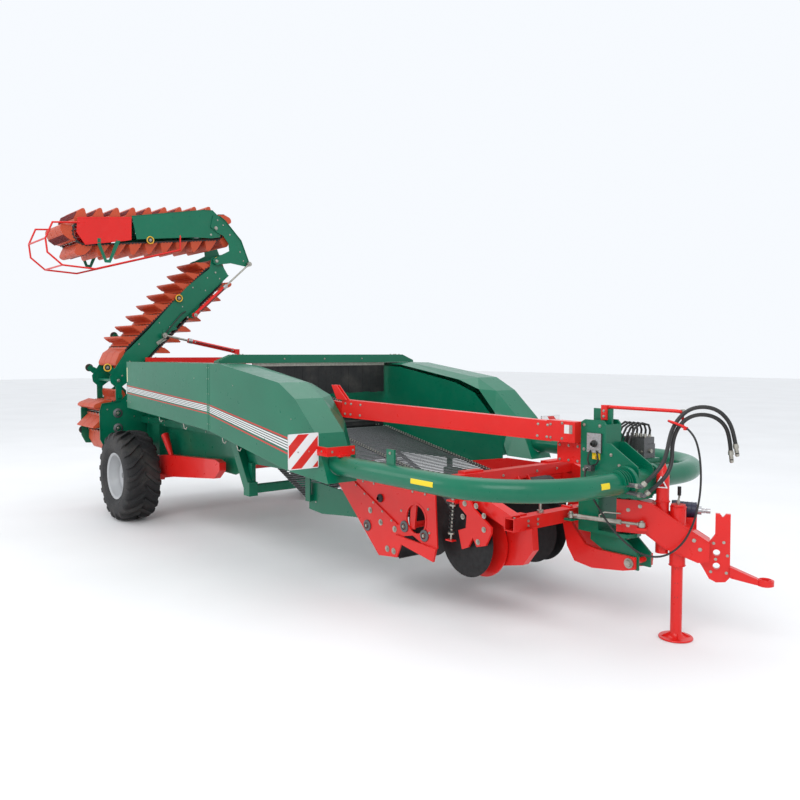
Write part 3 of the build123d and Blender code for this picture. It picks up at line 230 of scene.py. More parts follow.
# ------------------------------------------------------------------ mesh builder
class MB:
    """Collects vertices and faces of one piece; a face carries a material index."""

    def __init__(s):
        s.v, s.f, s.mi = [], [], []

    def add(s, verts, faces, mi=0):
        k = len(s.v)
        s.v += [tuple(p) for p in verts]
        s.f += [tuple(k + i for i in f) for f in faces]
        s.mi += [mi] * len(faces)

    def frame_of(s, d):
        d = V(d).normalized()
        up = V((0, 0, 1)) if abs(d.z) < 0.9 else V((1, 0, 0))
        x = up.cross(d).normalized()
        return x, d.cross(x), d

    def cyl(s, p, q, r, n=16, r2=None, mi=0, cap=True):
        p, q = V(p), V(q)
        r2 = r if r2 is None else r2
        x, y, d = s.frame_of(q - p)
        vs = []
        for c, rr in ((p, r), (q, r2)):
            for i in range(n):
                t = 2 * math.pi * i / n
                vs.append(c + (x * math.cos(t) + y * math.sin(t)) * rr)
        fs = [(i, (i + 1) % n, n + (i + 1) % n, n + i) for i in range(n)]
        if cap:
            fs += [tuple(range(n - 1, -1, -1)), tuple(range(n, 2 * n))]
        s.add(vs, fs, mi)

    def turn(s, p, axis, prof, n=24, mi=0, closed=False, arc=1.0):
        """Revolves prof [(along axis, radius)] round the axis through p."""
        x, y, d = s.frame_of(axis)
        p = V(p)
        vs = []
        full = arc >= 0.999
        cols = n if full else n + 1
        for i in range(cols):
            t = 2 * math.pi * arc * i / n
            e = x * math.cos(t) + y * math.sin(t)
            for h, r in prof:
                vs.append(p + d * h + e * r)
        k = len(prof)
        fs = []
        m_ = k if closed else k - 1
        for i in range(n):
            j = (i + 1) % cols if full else i + 1
            for h in range(m_):
                g = (h + 1) % k
                fs.append((i * k + h, j * k + h, j * k + g, i * k + g))
        s.add(vs, fs, mi)

    def prism(s, pts, off, mi=0):
        """Outline pts (3-D, planar) pushed along off."""
        off = V(off)
        pts = [V(p) for p in pts]
        n = len(pts)
        vs = pts + [p + off for p in pts]
        nrm = V((0, 0, 0))
        for i in range(n):
            nrm += pts[i].cross(pts[(i + 1) % n])
        fs = [(i, (i + 1) % n, n + (i + 1) % n, n + i) for i in range(n)]
        a, b = tuple(range(n - 1, -1, -1)), tuple(range(n, 2 * n))
        if nrm.dot(off) < 0:
            fs = [f[::-1] for f in fs]
            a, b = a[::-1], b[::-1]
        s.add(vs, fs + [a, b], mi)

    def box(s, x0, x1, y0, y1, z0, z1, mi=0):
        s.prism([(x0, y0, z0), (x1, y0, z0), (x1, y1, z0), (x0, y1, z0)], (0, 0, z1 - z0), mi)

    def bar(s, p, q, w, h, mi=0, up=None):
        p, q = V(p), V(q)
        d = (q - p).normalized()
        side = (V(up) if up is not None else V((0, 0, 1))).cross(d)
        side = V((0, 1, 0)) if side.length < 1e-6 else side.normalized()
        t = d.cross(side)
        a, b = side * (w / 2), t * (h / 2)
        s.prism([p - a - b, p + a - b, p + a + b, p - a + b], q - p, mi)

    def tube(s, pts, r, n=10, mi=0, cap=True, closed=False):
        """Round tube along points, with one turning frame."""
        pts = [V(p) for p in pts]
        k = len(pts)
        tang = []
        for i in range(k):
            if closed:
                t = pts[(i + 1) % k] - pts[i - 1]
            else:
                t = pts[min(i + 1, k - 1)] - pts[max(i - 1, 0)]
            tang.append(t.normalized())
        x, y, _ = s.frame_of(tang[0])
        vs = []
        for i in range(k):
            x = (x - tang[i] * x.dot(tang[i])).normalized()
            y = tang[i].cross(x)
            for j in range(n):
                t = 2 * math.pi * j / n
                vs.append(pts[i] + (x * math.cos(t) + y * math.sin(t)) * r)
        fs = []
        for i in range(k if closed else k - 1):
            a, b = i * n, ((i + 1) % k) * n
            for j in range(n):
                g = (j + 1) % n
                fs.append((a + j, a + g, b + g, b + j))
        if cap and not closed:
            fs += [tuple(range(n - 1, -1, -1)), tuple(range((k - 1) * n, k * n))]
        s.add(vs, fs, mi)

    def bolt(s, p, axis, size=0.012, mi=0, washer=True):
        """Hexagon head of a bolt standing on p."""
        p, d = V(p), V(axis).normalized()
        if washer:
            s.cyl(p - d * 0.001, p + d * size * 0.18, size * 1.05, 14, mi=mi)
        s.cyl(p, p + d * size * 0.62, size * 0.86, 6, mi=mi)
        s.cyl(p + d * size * 0.6, p + d * size * 0.72, size * 0.7, 12, size * 0.5, mi=mi)

    def obj(s, name, mats, body, rep=(), bevel=0, smooth=34, seg=2, subsurf=0, weld=False):
        me = bpy.data.meshes.new(name)
        me.from_pydata([(p[0] + OFF.x, p[1] + OFF.y, min(p[2], 3.9788)) for p in s.v], [], s.f)
        for mt_ in ([mats] if isinstance(mats, bpy.types.Material) else mats):
            me.materials.append(mt_)
        me.polygons.foreach_set("material_index", s.mi)
        me.validate()
        me.update()
        o = bpy.data.objects.new(name, me)
        bpy.context.scene.collection.objects.link(o)
        if weld:
            md = o.modifiers.new("weld", "WELD")
            md.merge_threshold = 0.0002
        if bevel:
            md = o.modifiers.new("bevel", "BEVEL")
            md.width = bevel
            md.segments = seg
            md.limit_method = "ANGLE"
            md.angle_limit = math.radians(40)
            md.harden_normals = False
        if subsurf:
            md = o.modifiers.new("sub", "SUBSURF")
            md.levels = md.render_levels = subsurf
        me.polygons.foreach_set("use_smooth", [True] * len(me.polygons))
        me.set_sharp_from_angle(angle=math.radians(smooth))
        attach(o, body)
        if rep:
            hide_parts(*([rep] if isinstance(rep, str) else rep))
        return o


# ------------------------------------------------------------------ free hoses
def bspline_length(pts, n=4000):
    """Length of the clamped quadratic spline over pts."""
    k = len(pts)
    knots = [0, 0, 0] + list(range(1, k - 2)) + [k - 2] * 3
    last, total = None, 0.0
    for i in range(n + 1):
        t = (k - 2) * i / n
        j = min(int(t), k - 3) + 2
        d = [V(pts[j - 2 + a]) for a in range(3)]
        for r in (1, 2):
            for a in range(2, r - 1, -1):
                lo, hi = knots[j - 2 + a], knots[j + 1 + a - r]
                al = 0 if hi == lo else (t - lo) / (hi - lo)
                d[a] = d[a - 1] * (1 - al) + d[a] * al
        if last is not None:
            total += (d[2] - last).length
        last = d[2]
    return total


def hose(name, pts_mm, dia, node):
    pts = [V([c / 1000 for c in p]) + OFF for p in pts_mm]
    cu = bpy.data.curves.new(name, "CURVE")
    cu.dimensions = "3D"
    sp = cu.splines.new("NURBS")
    sp.points.add(len(pts) - 1)
    for q, p in zip(sp.points, pts):
        q.co = (*p, 1)
    sp.order_u = 3
    sp.use_endpoint_u = True
    sp.resolution_u = 10
    cu.bevel_depth = dia / 2
    cu.bevel_resolution = 5
    cu.use_fill_caps = True
    cu.materials.append(M["hose"])
    o = bpy.data.objects.new(name, cu)
    bpy.context.scene.collection.objects.link(o)
    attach(o, "frame")
    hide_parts(node)
    L = bspline_length(pts)
    tuple(pts[0])
    print("hose", name, round(L, 3))
    return o


HOSE_A, HOSE_B, LOOP_0 = (6430, -150, 1075), (6430, -196, 1140), (5905, -152, 1168)
ROUTE_1 = [HOSE_A, (6496, -128, 1138), (6530, -83, 1212), (6518, -30, 1288), (6482, 22, 1358), (6457, 81, 1427),
           (6456, 139, 1500), (6490, 201, 1561), (6538, 278, 1582), (6600, 347, 1566), (6647, 403, 1509), (6665, 436, 1423),
           (6668, 450, 1330)]
ROUTE_2 = [HOSE_B, (6482, -158, 1206), (6499, -98, 1276), (6484, -38, 1347), (6460, 22, 1416), (6444, 82, 1486),
           (6459, 139, 1560), (6502, 197, 1619), (6562, 267, 1637), (6623, 335, 1617), (6671, 387, 1556), (6700, 417, 1472),
           (6712, 430, 1380)]
ROUTE_3 = [LOOP_0, (5932, -221.5, 1148.8), (5990, -262, 1045), (6066, -250, 950), (6152, -212, 800), (6240, -152, 687), (6340, -85, 605),
           (6450, -5, 602), (6545, 60, 690), (6606, 92, 830), (6638, 108, 985), (6650, 112, 1140), (6640, 112, 1290),
           (6612, 114, 1400), (6572, 116, 1462), (6534, 118, 1489)]


def coupler(name, route):
    """Half of a quick coupling on a hose's end."""
    e = V(route[-1]) / 1000
    d = (e - V(route[-2]) / 1000).normalized()
    mb = MB()
    mb.cyl(e, e + d * .012, .0165, 20, mi=0)
    mb.cyl(e + d * .010, e + d * .034, .0188, 6, mi=0)
    mb.cyl(e + d * .034, e + d * .050, .0140, 20, mi=0)
    mb.turn(e, d, [(.050, .0120), (.052, .0148), (.062, .0150), (.064, .0125), (.070, .0125), (.072, .0148), (.080, .0146), (.090, .0110),
                   (.092, .0040)], 24, 0)
    mb.turn(e, d, [(.0635, .0126), (.0668, .0140), (.0702, .0126)], 24, 1)
    return mb.obj(name, [M["zinc"], M["rubber"]], "frame", "hose_couplers", smooth=34)


c1_ = coupler("coupler_1", ROUTE_1)
c2_ = coupler("coupler_2", ROUTE_2)
hose("pressure_hose_1", ROUTE_1, .028, "hose_1")
hose("pressure_hose_2", ROUTE_2, .028, "hose_2")
hose("loop_hose", ROUTE_3, .014, "hose_loop")

# ------------------------------------------------------------------ floor, light
bm = bmesh.new()
bmesh.ops.create_grid(bm, x_segments=1, y_segments=1, size=60)
me = bpy.data.meshes.new("floor")
bm.to_mesh(me)
bm.free()
floor = bpy.data.objects.new("floor", me)
bpy.context.scene.collection.objects.link(floor)
mt, nt, b, tc = mat("pale_floor")
n1 = noise(nt, tc, 0.6, 4)
c1 = ramp(nt, n1.outputs["Fac"], [(0.3, (0.84, 0.84, 0.84)), (0.7, (0.88, 0.88, 0.88))])
nt.links.new(c1.outputs["Color"], b.inputs["Base Color"])
b.inputs["Roughness"].default_value = 0.75
me.materials.append(mt)

w = bpy.data.worlds.new("studio")
w.use_nodes = True
w.node_tree.nodes["Background"].inputs["Color"].default_value = (0.93, 0.96, 1.0, 1)
w.node_tree.nodes["Background"].inputs["Strength"].default_value = 1.0
bpy.context.scene.world = w
bpy.context.scene.view_settings.view_transform = "Standard"


def area(name, loc, target, size, power, col=(1, 1, 1)):
    d = bpy.data.lights.new(name, "AREA")
    d.shape = "RECTANGLE"
    d.size, d.size_y = size
    d.energy = power
    d.color = col
    o = bpy.data.objects.new(name, d)
    bpy.context.scene.collection.objects.link(o)
    loc, target = V(loc) + OFF, V(target) + OFF
    z = (loc - target).normalized()
    x = V((0, 0, 1)).cross(z).normalized()
    y = z.cross(x)
    mm = Matrix((x, y, z)).transposed().to_4x4()
    mm.translation = loc
    o.matrix_world = mm
    return o


area("key", (9, -7, 8), (2, 0, 1), (7, 5), 420)
area("fill", (-5, -9, 5), (1, 0, 1), (6, 5), 140)
area("top", (1, 2, 10), (1, 0, 0), (9, 7), 240)

def hull(circles, n=28):
    pts = []
    for a, b, r in circles:
        for i in range(n):
            t = 2 * math.pi * i / n
            pts.append((a + r * math.cos(t), b + r * math.sin(t)))
    pts = sorted(set(pts))

    def half(seq):
        out = []
        for p in seq:
            while len(out) >= 2 and (out[-1][0] - out[-2][0]) * (p[1] - out[-2][1]) - (
                    out[-1][1] - out[-2][1]) * (p[0] - out[-2][0]) <= 1e-12:
                out.pop()
            out.append(p)
        return out
    lo, hi = half(pts), half(pts[::-1])
    return lo[:-1] + hi[:-1]


class Path2:
    """Closed 2-D line with positions by length; gives point, tangent and outward normal."""

    def __init__(s, pts):
        s.p = pts
        s.n = len(pts)
        s.L = [0.0]
        for i in range(s.n):
            a, b = pts[i], pts[(i + 1) % s.n]
            s.L.append(s.L[-1] + math.hypot(b[0] - a[0], b[1] - a[1]))
        s.len = s.L[-1]
        s.area = sum(pts[i][0] * pts[(i + 1) % s.n][1] - pts[(i + 1) % s.n][0] * pts[i][1] for i in range(s.n))

    def at(s, t):
        t %= s.len
        import bisect
        i = min(bisect.bisect_right(s.L, t) - 1, s.n - 1)
        a, b = s.p[i], s.p[(i + 1) % s.n]
        d = s.L[i + 1] - s.L[i]
        k = (t - s.L[i]) / d
        tx, ty = (b[0] - a[0]) / d, (b[1] - a[1]) / d
        sg = 1 if s.area > 0 else -1
        return (a[0] + (b[0] - a[0]) * k, a[1] + (b[1] - a[1]) * k), (tx, ty), (ty * sg, -tx * sg)


# ------------------------------------------------------------------ tyres
def make_tyre(side, name):
    s = 1 if side == "left" else -1
    c = V((0, s * 1.337, 0.5375))
    mb = MB()
    R = 0.5375
    prof = [(-.160, .256), (-.166, .262), (-.167, .282), (-.181, .300), (-.196, .335), (-.2035, .370), (-.205, .400),
            (-.204, .430), (-.199, .458), (-.190, .478), (-.172, .492), (-.130, .500), (-.070, .505), (0, .5065)]
    prof = prof + [(-h, r) for h, r in prof[-2::-1]]
    mb.turn(c, (0, 1, 0), prof, 96)
    # bead ring line and side ribs
    for q in (-1, 1):
        mb.turn(c, (0, 1, 0), [(q * .1975, .345), (q * .2015, .349), (q * .2015, .353), (q * .1995, .357)], 96)
    # lugs: slanted bars from the middle to each shoulder
    n = 21
    top = [(.004, .5370), (.060, .5365), (.120, .5330), (.165, .5240), (.190, .5090), (.2045, .4780), (.2048, .4450)]
    low = [(.004, .5000), (.060, .5000), (.120, .4950), (.165, .4880), (.186, .4750), (.1960, .4600), (.2000, .4400)]
    for q in (-1, 1):
        for i in range(n):
            base = 2 * math.pi * (i + (0.5 if q > 0 else 0)) / n
            vs = []
            for j, ((ht, rt), (hl, rl)) in enumerate(zip(top, low)):
                sw = base + 0.26 * min(ht, 0.15) / 0.15 * s
                wt = 0.0155 + 0.007 * ht / 0.2
                for rr, hh, ww in ((rl, hl, wt + 0.010), (rt, ht, wt)):
                    for e in (-1, 1):
                        an = sw + e * ww / rr
                        vs.append(c + V((rr * math.cos(an), q * hh, rr * math.sin(an))))
            fs = []
            k = len(top)
            for j in range(k - 1):
                a, b = j * 4, (j + 1) * 4
                # order in a section: low-, low+, top-, top+
                fs += [(a + 2, a + 3, b + 3, b + 2), (a + 0, a + 2, b + 2, b + 0), (a + 3, a + 1, b + 1, b + 3)]
            fs += [(0, 1, 3, 2), ((k - 1) * 4, (k - 1) * 4 + 2, (k - 1) * 4 + 3, (k - 1) * 4 + 1)]
            mb.add(vs, fs)
    return mb.obj(name, M["tyre"], "wheel_" + side, "tyre_" + side, smooth=30)


for sd in ("right", "left"):
    make_tyre(sd, "tyre_tread_" + sd)


# rim: pressed disc with holes, nuts and hub cap
def make_rim(side):
    s = 1 if side == "left" else -1
    c = V((0, s * 1.337, 0.5375))
    mb = MB()
    o = s
    prof = [(-.178, .274), (-.170, .278), (-.165, .262), (-.160, .254), (-.120, .248), (-.105, .228), (-.04, .206), (.02, .206),
            (.085, .228), (.110, .246), (.150, .254), (.160, .262), (.168, .278), (.176, .2785), (.178, .272), (.166, .250), (.118, .236),
            (.092, .220), (.03, .200), (-.05, .200), (-.100, .222), (-.112, .240), (-.168, .250)]
    mb.turn(c, (0, o, 0), prof, 72, closed=True)
    disc = [(.020, .200), (.052, .196), (.060, .180), (.060, .150), (.048, .128), (.030, .118), (.028, .060), (.020, .060),
            (.018, .118), (.034, .134), (.046, .152), (.046, .178), (.038, .190), (.006, .198)]
    mb.turn(c, (0, o, 0), disc, 72, closed=True)
    mb.turn(c, (0, o, 0), [(.02, .0), (.082, .0), (.082, .036), (.074, .044), (.03, .048), (.02, .062)][1:], 32, mi=1)
    mb.turn(c, (0, o, 0), [(-.06, .060), (-.06, .036), (.03, .036), (.03, .060)], 32, mi=1)
    for i in range(8):
        a = 2 * math.pi * i / 8
        p = c + V((.088 * math.cos(a), o * .029, .088 * math.sin(a)))
        mb.bolt(p, (0, o, 0), 0.014, mi=1)
        mb.cyl(p, p + V((0, o * .022, 0)), .006, 8, mi=1)
    a = 0.4
    p = c + V((.226 * math.cos(a), o * .086, .226 * math.sin(a)))
    mb.cyl(p, p + V((-.02 * math.cos(a), o * .05, -.02 * math.sin(a))), .005, 8, mi=2)
    return mb.obj("rim_" + side, [M["rim"], M["cast"], M["rubber"]], "wheel_" + side, "wheel_rim_" + side, smooth=36)


for sd in ("right", "left"):
    make_rim(sd)


# ------------------------------------------------------------------ sieving webs
def make_web(name, rolls, half, pitch, rod_r, body, rep, mats, belts, plane="xz", thick=.024, studs=True, y_c=0.0):
    """Rods across, rubber belts along; rolls (u, v, r to the outside of the web)."""
    path = Path2(hull([(a, b, r - thick / 2) for a, b, r in rolls], 40))
    mb = MB()
    n = int(path.len / pitch)

    def P(uv, w):
        return V((uv[0], w, uv[1])) if plane == "xz" else V((w, uv[0], uv[1]))
    for i in range(n):
        (p, t, nn) = path.at(i * path.len / n)
        mb.cyl(P(p, y_c - half), P(p, y_c + half), rod_r, 8)
    m_ = int(path.len / 0.03)
    for w, bw in belts:
        for i in range(m_):
            (p, t, nn) = path.at(i * path.len / m_)
            (q, t2, n2) = path.at((i + 1) * path.len / m_)
            bt = 0.0045
            vs = []
            for c, e in ((p, nn), (q, n2)):
                for h in (-bt, bt):
                    for g in (-bw / 2, bw / 2):
                        vs.append(P((c[0] + e[0] * h, c[1] + e[1] * h), y_c + w + g))
            mb.add(vs, [(0, 1, 5, 4), (2, 6, 7, 3), (0, 4, 6, 2), (1, 3, 7, 5)], 1)
        if studs:
            for i in range(n):
                (p, t, nn) = path.at(i * path.len / n)
                for g in (-bw * .28, bw * .28):
                    c = P((p[0] + nn[0] * .005, p[1] + nn[1] * .005), y_c + w + g)
                    e = P((p[0] + nn[0] * .0115, p[1] + nn[1] * .0115), y_c + w + g)
                    mb.cyl(c, e, .0085, 7, .006, mi=2)
    return mb.obj(name, mats, body, rep, smooth=40)


FRONT_WEB = [(4.320, .705, .100), (3.380, .640, .100), (2.330, 1.085, .100)]
REAR_WEB = [(2.085, 1.180, .090), (1.180, 1.180, .090), (.330, 1.560, .090)]
make_web("front_web", FRONT_WEB, .815, .040, .0058, "frame", "front_sieving_web",
         [M["webrod"], M["rubber"], M["zinc"]], [(-.78, .060), (0.0, .060), (.78, .060)])
make_web("rear_web", REAR_WEB, .815, .044, .0062, "frame", "rear_sieving_web",
         [M["webrod_dark"], M["rubber"], M["zinc"]], [(-.78, .060), (0.0, .060), (.78, .060)])
make_web("cross_web", [(-.790, .905, .070), (.800, .905, .070)], .310, .044, .0055, "frame", "cross_conveyor_belt",
         [M["webrod_dark"], M["rubber"], M["zinc"]], [(-.27, .055), (.27, .055)], plane="yz", thick=.018, y_c=-.915)

# ------------------------------------------------------------------ elevator belts
def belt_at(c0, c1, r=0.150):
    (u0, v0), (u1, v1) = c0, c1
    L = math.hypot(u1 - u0, v1 - v0)
    du, dv = (u1 - u0) / L, (v1 - v0) / L
    nu, nv = -dv, du
    per = 2 * L + 2 * math.pi * r

    def at(s_, h):
        s_ = s_ % per
        rr = r + h
        if s_ < L:
            return (u0 + du * s_ + nu * rr, v0 + dv * s_ + nv * rr)
        s_ -= L
        if s_ < math.pi * r:
            a = s_ / r
            return (u1 + (nu * math.cos(a) + du * math.sin(a)) * rr, v1 + (nv * math.cos(a) + dv * math.sin(a)) * rr)
        s_ -= math.pi * r
        if s_ < L:
            return (u1 - du * s_ - nu * rr, v1 - dv * s_ - nv * rr)
        s_ -= L
        a = s_ / r
        return (u0 + (-nu * math.cos(a) - du * math.sin(a)) * rr, v0 + (-nv * math.cos(a) - dv * math.sin(a)) * rr)
    return at, per


BX0, BX1 = -1.240, -.590
SHELF = [(.166, .000), (.152, .008), (.098, .068), (.036, .134), (.026, .145), (.015, .1475), (.008, .141), (.008, .132),
         (.016, .096), (.028, .050), (.038, .014), (.042, .000)]
SCOOP = [(.152, .000), (.149, .060), (.143, .122), (.136, .138), (.122, .1455), (.106, .143), (.070, .112), (.024, .060),
         (-.008, .020), (-.016, .000)]


def make_belt(name, c0, c1, body, rep, prof, flip=False):
    at, per = belt_at(c0, c1)
    n = int(round(per / 0.205))
    mb = MB()

    def P(q, x):
        return V((x, q[0], q[1]))
    # two edge belts of black rubber and rods between them
    m_ = int(per / 0.02)
    for xa, xb, t0, t1, mi in ((BX0, BX0 + .055, -.012, .004, 1), (BX1 - .055, BX1, -.012, .004, 1),
                               ((BX0 + BX1) / 2 - .03, (BX0 + BX1) / 2 + .03, -.012, .003, 1)):
        vs, fs = [], []
        for i in range(m_):
            sc = i * per / m_
            vs += [P(at(sc, t0), xa), P(at(sc, t0), xb), P(at(sc, t1), xb), P(at(sc, t1), xa)]
        for i in range(m_):
            a, b = i * 4, ((i + 1) % m_) * 4
            for k in range(4):
                g = (k + 1) % 4
                fs.append((a + k, a + g, b + g, b + k))
        mb.add(vs, fs, mi)
    k_ = n * 5
    for i in range(k_):
        sc = (i + .5) * per / k_
        q = at(sc, -.004)
        mb.cyl(P(q, BX0 + .004), P(q, BX1 - .004), .0055, 7, mi=2)
        for xa in (BX0 + .001, BX1 - .012):            # lugs of the edge belts
            a_, b_ = at(sc - .009, .003), at(sc + .009, .003)
            c_, d_ = at(sc + .007, .013), at(sc - .007, .013)
            mb.prism([P(a_, xa), P(b_, xa), P(c_, xa), P(d_, xa)], (.011, 0, 0), mi=1)
    for i in range(n):
        s0 = i * per / n
        # moulded flight in three scoops side by side on one foot
        foot = [at(s0 - .006 + .186 * j / 8, .002) for j in range(9)] + [at(s0 + .180 - .186 * j / 8, .010) for j in range(9)]
        if prof is SHELF:
            mb.prism([P(q, BX0 + .002) for q in foot], (BX1 - BX0 - .004, 0, 0), 0)
        pts = [at(s0 + a, h + .001) for a, h in prof]
        w3 = (BX1 - BX0 - .024) / 3
        for g in range(3):
            xa = BX0 + .004 + g * (w3 + .008)
            mb.prism([P(q, xa) for q in pts], (w3, 0, 0), 0)
            # ribs on the back of the scoop; on the scoop flights they take the darker red copy of the flight rubber,
            # which is painted shade
            for r_i in range(5):
                xr = xa + w3 * (r_i + .5) / 5
                if prof is SHELF:
                    rb = [at(s0 + .030, .049), at(s0 + .010, .125), at(s0 + .003, .122), at(s0 + .018, .046)]
                else:
                    rb = [at(s0 + .070, .111), at(s0 + .020, .056), at(s0 + .014, .066), at(s0 + .064, .121)]
                mb.prism([P(q, xr - .006) for q in rb], (.012, 0, 0), 0 if prof is SHELF else 3)
            for bx in (.2, .8):
                if prof is SHELF:
                    q0, q1 = at(s0 + .172, .009), at(s0 + .172, .016)
                else:
                    q0, q1 = at(s0 - .024, .001), at(s0 - .024, .010)
                mb.cyl(P(q0, xa + w3 * bx), P(q1, xa + w3 * bx), .010, 6, mi=2)
    return mb.obj(name, [M["flight"], M["rubber"], M["zinc"], M["flight_painted_shade"]], body, rep, smooth=35)


SL0, SL1 = (-1.000, 1.990), (.060, 3.020)
TP0, TP1 = (-1.610, 3.480), (.095, 3.690)
make_belt("elevator_base_flights", (-1.270, 1.250), (-1.270, 1.060), "frame", "elevator_base_belt", SHELF)
make_belt("elevator_slope_flights", SL0, SL1, "elevator_slope", "elevator_slope_belt", SHELF)
make_belt("elevator_top_flights", TP1, TP0, "elevator_top", "elevator_top_belt", SCOOP)


def ring3(mb, c, axis, r, t, n=28, mi=0, m_=10):
    """Ring of round section."""
    mb.turn(c, axis, [(t * math.cos(2 * math.pi * k / m_), r + t * math.sin(2 * math.pi * k / m_)) for k in range(m_)], n, mi, closed=True)


# guide wheels at the edges of the elevator: yellow flange, black tread, nut
def guide_wheels(name, body, spots):
    mb = MB()
    for y, z, o, br in spots:
        x = (-.560 if o > 0 else -1.270)
        c = V((x, y, z))
        d = V((o, 0, 0))
        mb.turn(c, d, [(.004, .014), (.004, .046), (.007, .050), (.018, .050), (.021, .046), (.021, .014)], 28, 1)
        ring3(mb, c + d * .021, d, .043, .0075, 28, 0, 8)
        mb.turn(c, d, [(.018, .0), (.027, .0), (.027, .018), (.018, .022)][1:], 18, 2)
        mb.bolt(c + d * .026, d, .011, 2)
        if br:
            p = V((x, y + br[0], z + br[1]))
            u = (p - c).normalized()
            w_ = V((0, -u.z, u.y))
            mb.prism([c - w_ * .030 - u * .02, c + w_ * .030 - u * .02, p + w_ * .045, p - w_ * .045], (-o * .006, 0, 0), 3)
    return mb.obj(name, [M["yellow"], M["rubber"], M["zinc"], M["green"]], body, smooth=40)


guide_wheels("guide_wheels_slope", "elevator_slope",
             [(-.438, 2.727, 1, None), (-1.045, 2.240, -1, (.10, -.09)), (-1.392, 1.825, 1, (.09, -.06)), (.118, 3.257, 1, None),
              (-.128, 2.770, -1, None), (-1.380, 1.815, -1, (.09, -.06))])
guide_wheels("guide_wheels_top", "elevator_top", [(-.813, 3.452, 1, (0, .06)), (-.540, 3.500, -1, (0, .06))])
guide_wheels("guide_wheels_base", "frame", [(-1.480, 1.000, -1, None)])


# edges, bolts and seams of the elevator plates
def plate_trim(name, body, xs, outline, lines, bolts, mat_="green", fold=.018, t=.005, skip=()):
    """Folded edge along parts of an outline, and bolts; xs is (x, side)."""
    mb = MB()
    for x, o in xs:
        for i, j in lines:
            a, b = outline[i], outline[j]
            p, q = V((x, a[0], a[1])), V((x, b[0], b[1]))
            mb.bar(p + V((o * fold / 2, 0, 0)), q + V((o * fold / 2, 0, 0)), fold, t, up=(0, 0, 1) if abs((q - p).normalized().z) < .9 else (0, 1, 0))
        for y, z, s_ in bolts:
            mb.bolt((x, y, z), (o, 0, 0), s_, 1)
    return mb.obj(name, [M[mat_], M["zinc"]], body, smooth=30)


TOPP = [(-1.047, 3.735), (-.085, 3.915), (.060, 3.925), (.150, 3.850), (.190, 3.700), (.156, 3.575), (.034, 3.551),
        (-.234, 3.543), (-.989, 3.450)]
tb = [(-.90, 3.700, .011), (-.62, 3.748, .011), (-.34, 3.800, .011), (-.06, 3.862, .011), (-.42, 3.742, .007), (-.98, 3.640, .007),
      (.06, 3.80, .010), (-1.0, 3.52, .009), (.030, 3.600, .018), (-.10, 3.585, .008)]
plate_trim("elevator_top_trim", "elevator_top", [(-.552, 1), (-1.278, -1)], TOPP, [(0, 1), (7, 8), (1, 2)], tb, fold=.014)
mb = MB()
for x, o in ((-.552, 1), (-1.278, -1)):          # pressed rib along the green plate
    for k, w_ in ((0, .040), (1, .026)):
        a, b = V((x + o * .0015, -.985, 3.548)), V((x + o * .0015, -.150, 3.650))
        mb.bar(a + V((o * .004 * k, 0, 0)), b + V((o * .004 * k, 0, 0)), .006, w_)
mb.obj("elevator_top_ribs", M["green"], "elevator_top", bevel=.002)
mb = MB()
for x, o in ((-.552, 1), (-1.278, -1)):          # red end plate: folded rim, blank plate, bolts
    mb.bar((x + o * .006, -1.700, 3.640), (x + o * .006, -1.060, 3.708), .012, .004)
    mb.bar((x + o * .006, -1.620, 3.338), (x + o * .006, -1.140, 3.427), .012, .004)
    mb.box(x, x + o * .0015, -1.600, -1.500, 3.560, 3.625, 1)
    for y, z in ((-1.10, 3.68), (-1.10, 3.46), (-1.62, 3.60), (-1.40, 3.41)):
        mb.bolt((x, y, z), (o, 0, 0), .010, 2)
mb.obj("discharge_plate_trim", [M["red"], M["blank_white"], M["zinc"]], "elevator_top", smooth=30)
SLP = [(-1.356, 1.711), (-1.168, 1.996), (-.855, 2.301), (-.316, 2.881), (.013, 3.147), (.045, 3.285), (.098, 3.310), (.150, 3.285),
       (.291, 3.070), (.198, 2.987), (-.490, 2.353), (-.907, 1.920), (-1.046, 1.794), (-1.138, 1.630)]
sb = [(-.975, 2.120, .010), (-.70, 2.40, .008), (-.23, 2.88, .010), (.10, 3.10, .012), (.16, 3.02, .009), (-.02, 3.02, .009), (-.38, 2.62, .008),
      (-.56, 2.35, .008), (-1.20, 1.72, .012), (-1.10, 1.90, .009), (-.05, 2.85, .008)]
plate_trim("elevator_slope_trim", "elevator_slope", [(-.570, 1), (-1.260, -1)], SLP, [(8, 9), (9, 10), (10, 11), (11, 12)], sb, fold=.016)
mb = MB()                                          # strap and pin bracket on the slope's face
mb.bar((-.566, -.66, 2.29), (-.566, -.47, 2.345), .008, .050)
mb.bar((-.566, -.74, 2.13), (-.566, -.62, 2.20), .012, .045, 1)
mb.bolt((-.560, -.735, 2.135), (1, 0, 0), .012, 1)
mb.bolt((-.560, -.630, 2.198), (1, 0, 0), .012, 1)
for y, z in ((-.245, 2.495), (-.310, 2.480)):
    mb.bolt((-.566, y, z), (1, 0, 0), .012, 1)
mb.tube([(-.556, -.66, 2.22), (-.548, -.60, 2.30), (-.545, -.50, 2.42), (-.548, -.40, 2.53), (-.556, -.34, 2.56)], .007, 8, 2)
mb.obj("elevator_slope_straps", [M["green"], M["zinc"], M["hose"]], "elevator_slope", smooth=35)
# elbow plates: bolts, hinge nuts and a folded edge
ELB = [(.060, 3.860), (.147, 3.860), (.230, 3.806), (.468, 3.554), (.590, 3.250), (.568, 3.200)]
plate_trim("elevator_elbow_trim", "elevator_elbow", [(-.528, 1), (-1.302, -1)], ELB, [(1, 2), (2, 3), (3, 4)],
           [(.095, 3.690, .024), (.098, 3.250, .022), (.30, 3.62, .011), (.45, 3.40, .011), (.50, 3.28, .011), (.20, 3.74, .010), (.12, 3.80, .010)], fold=.012)
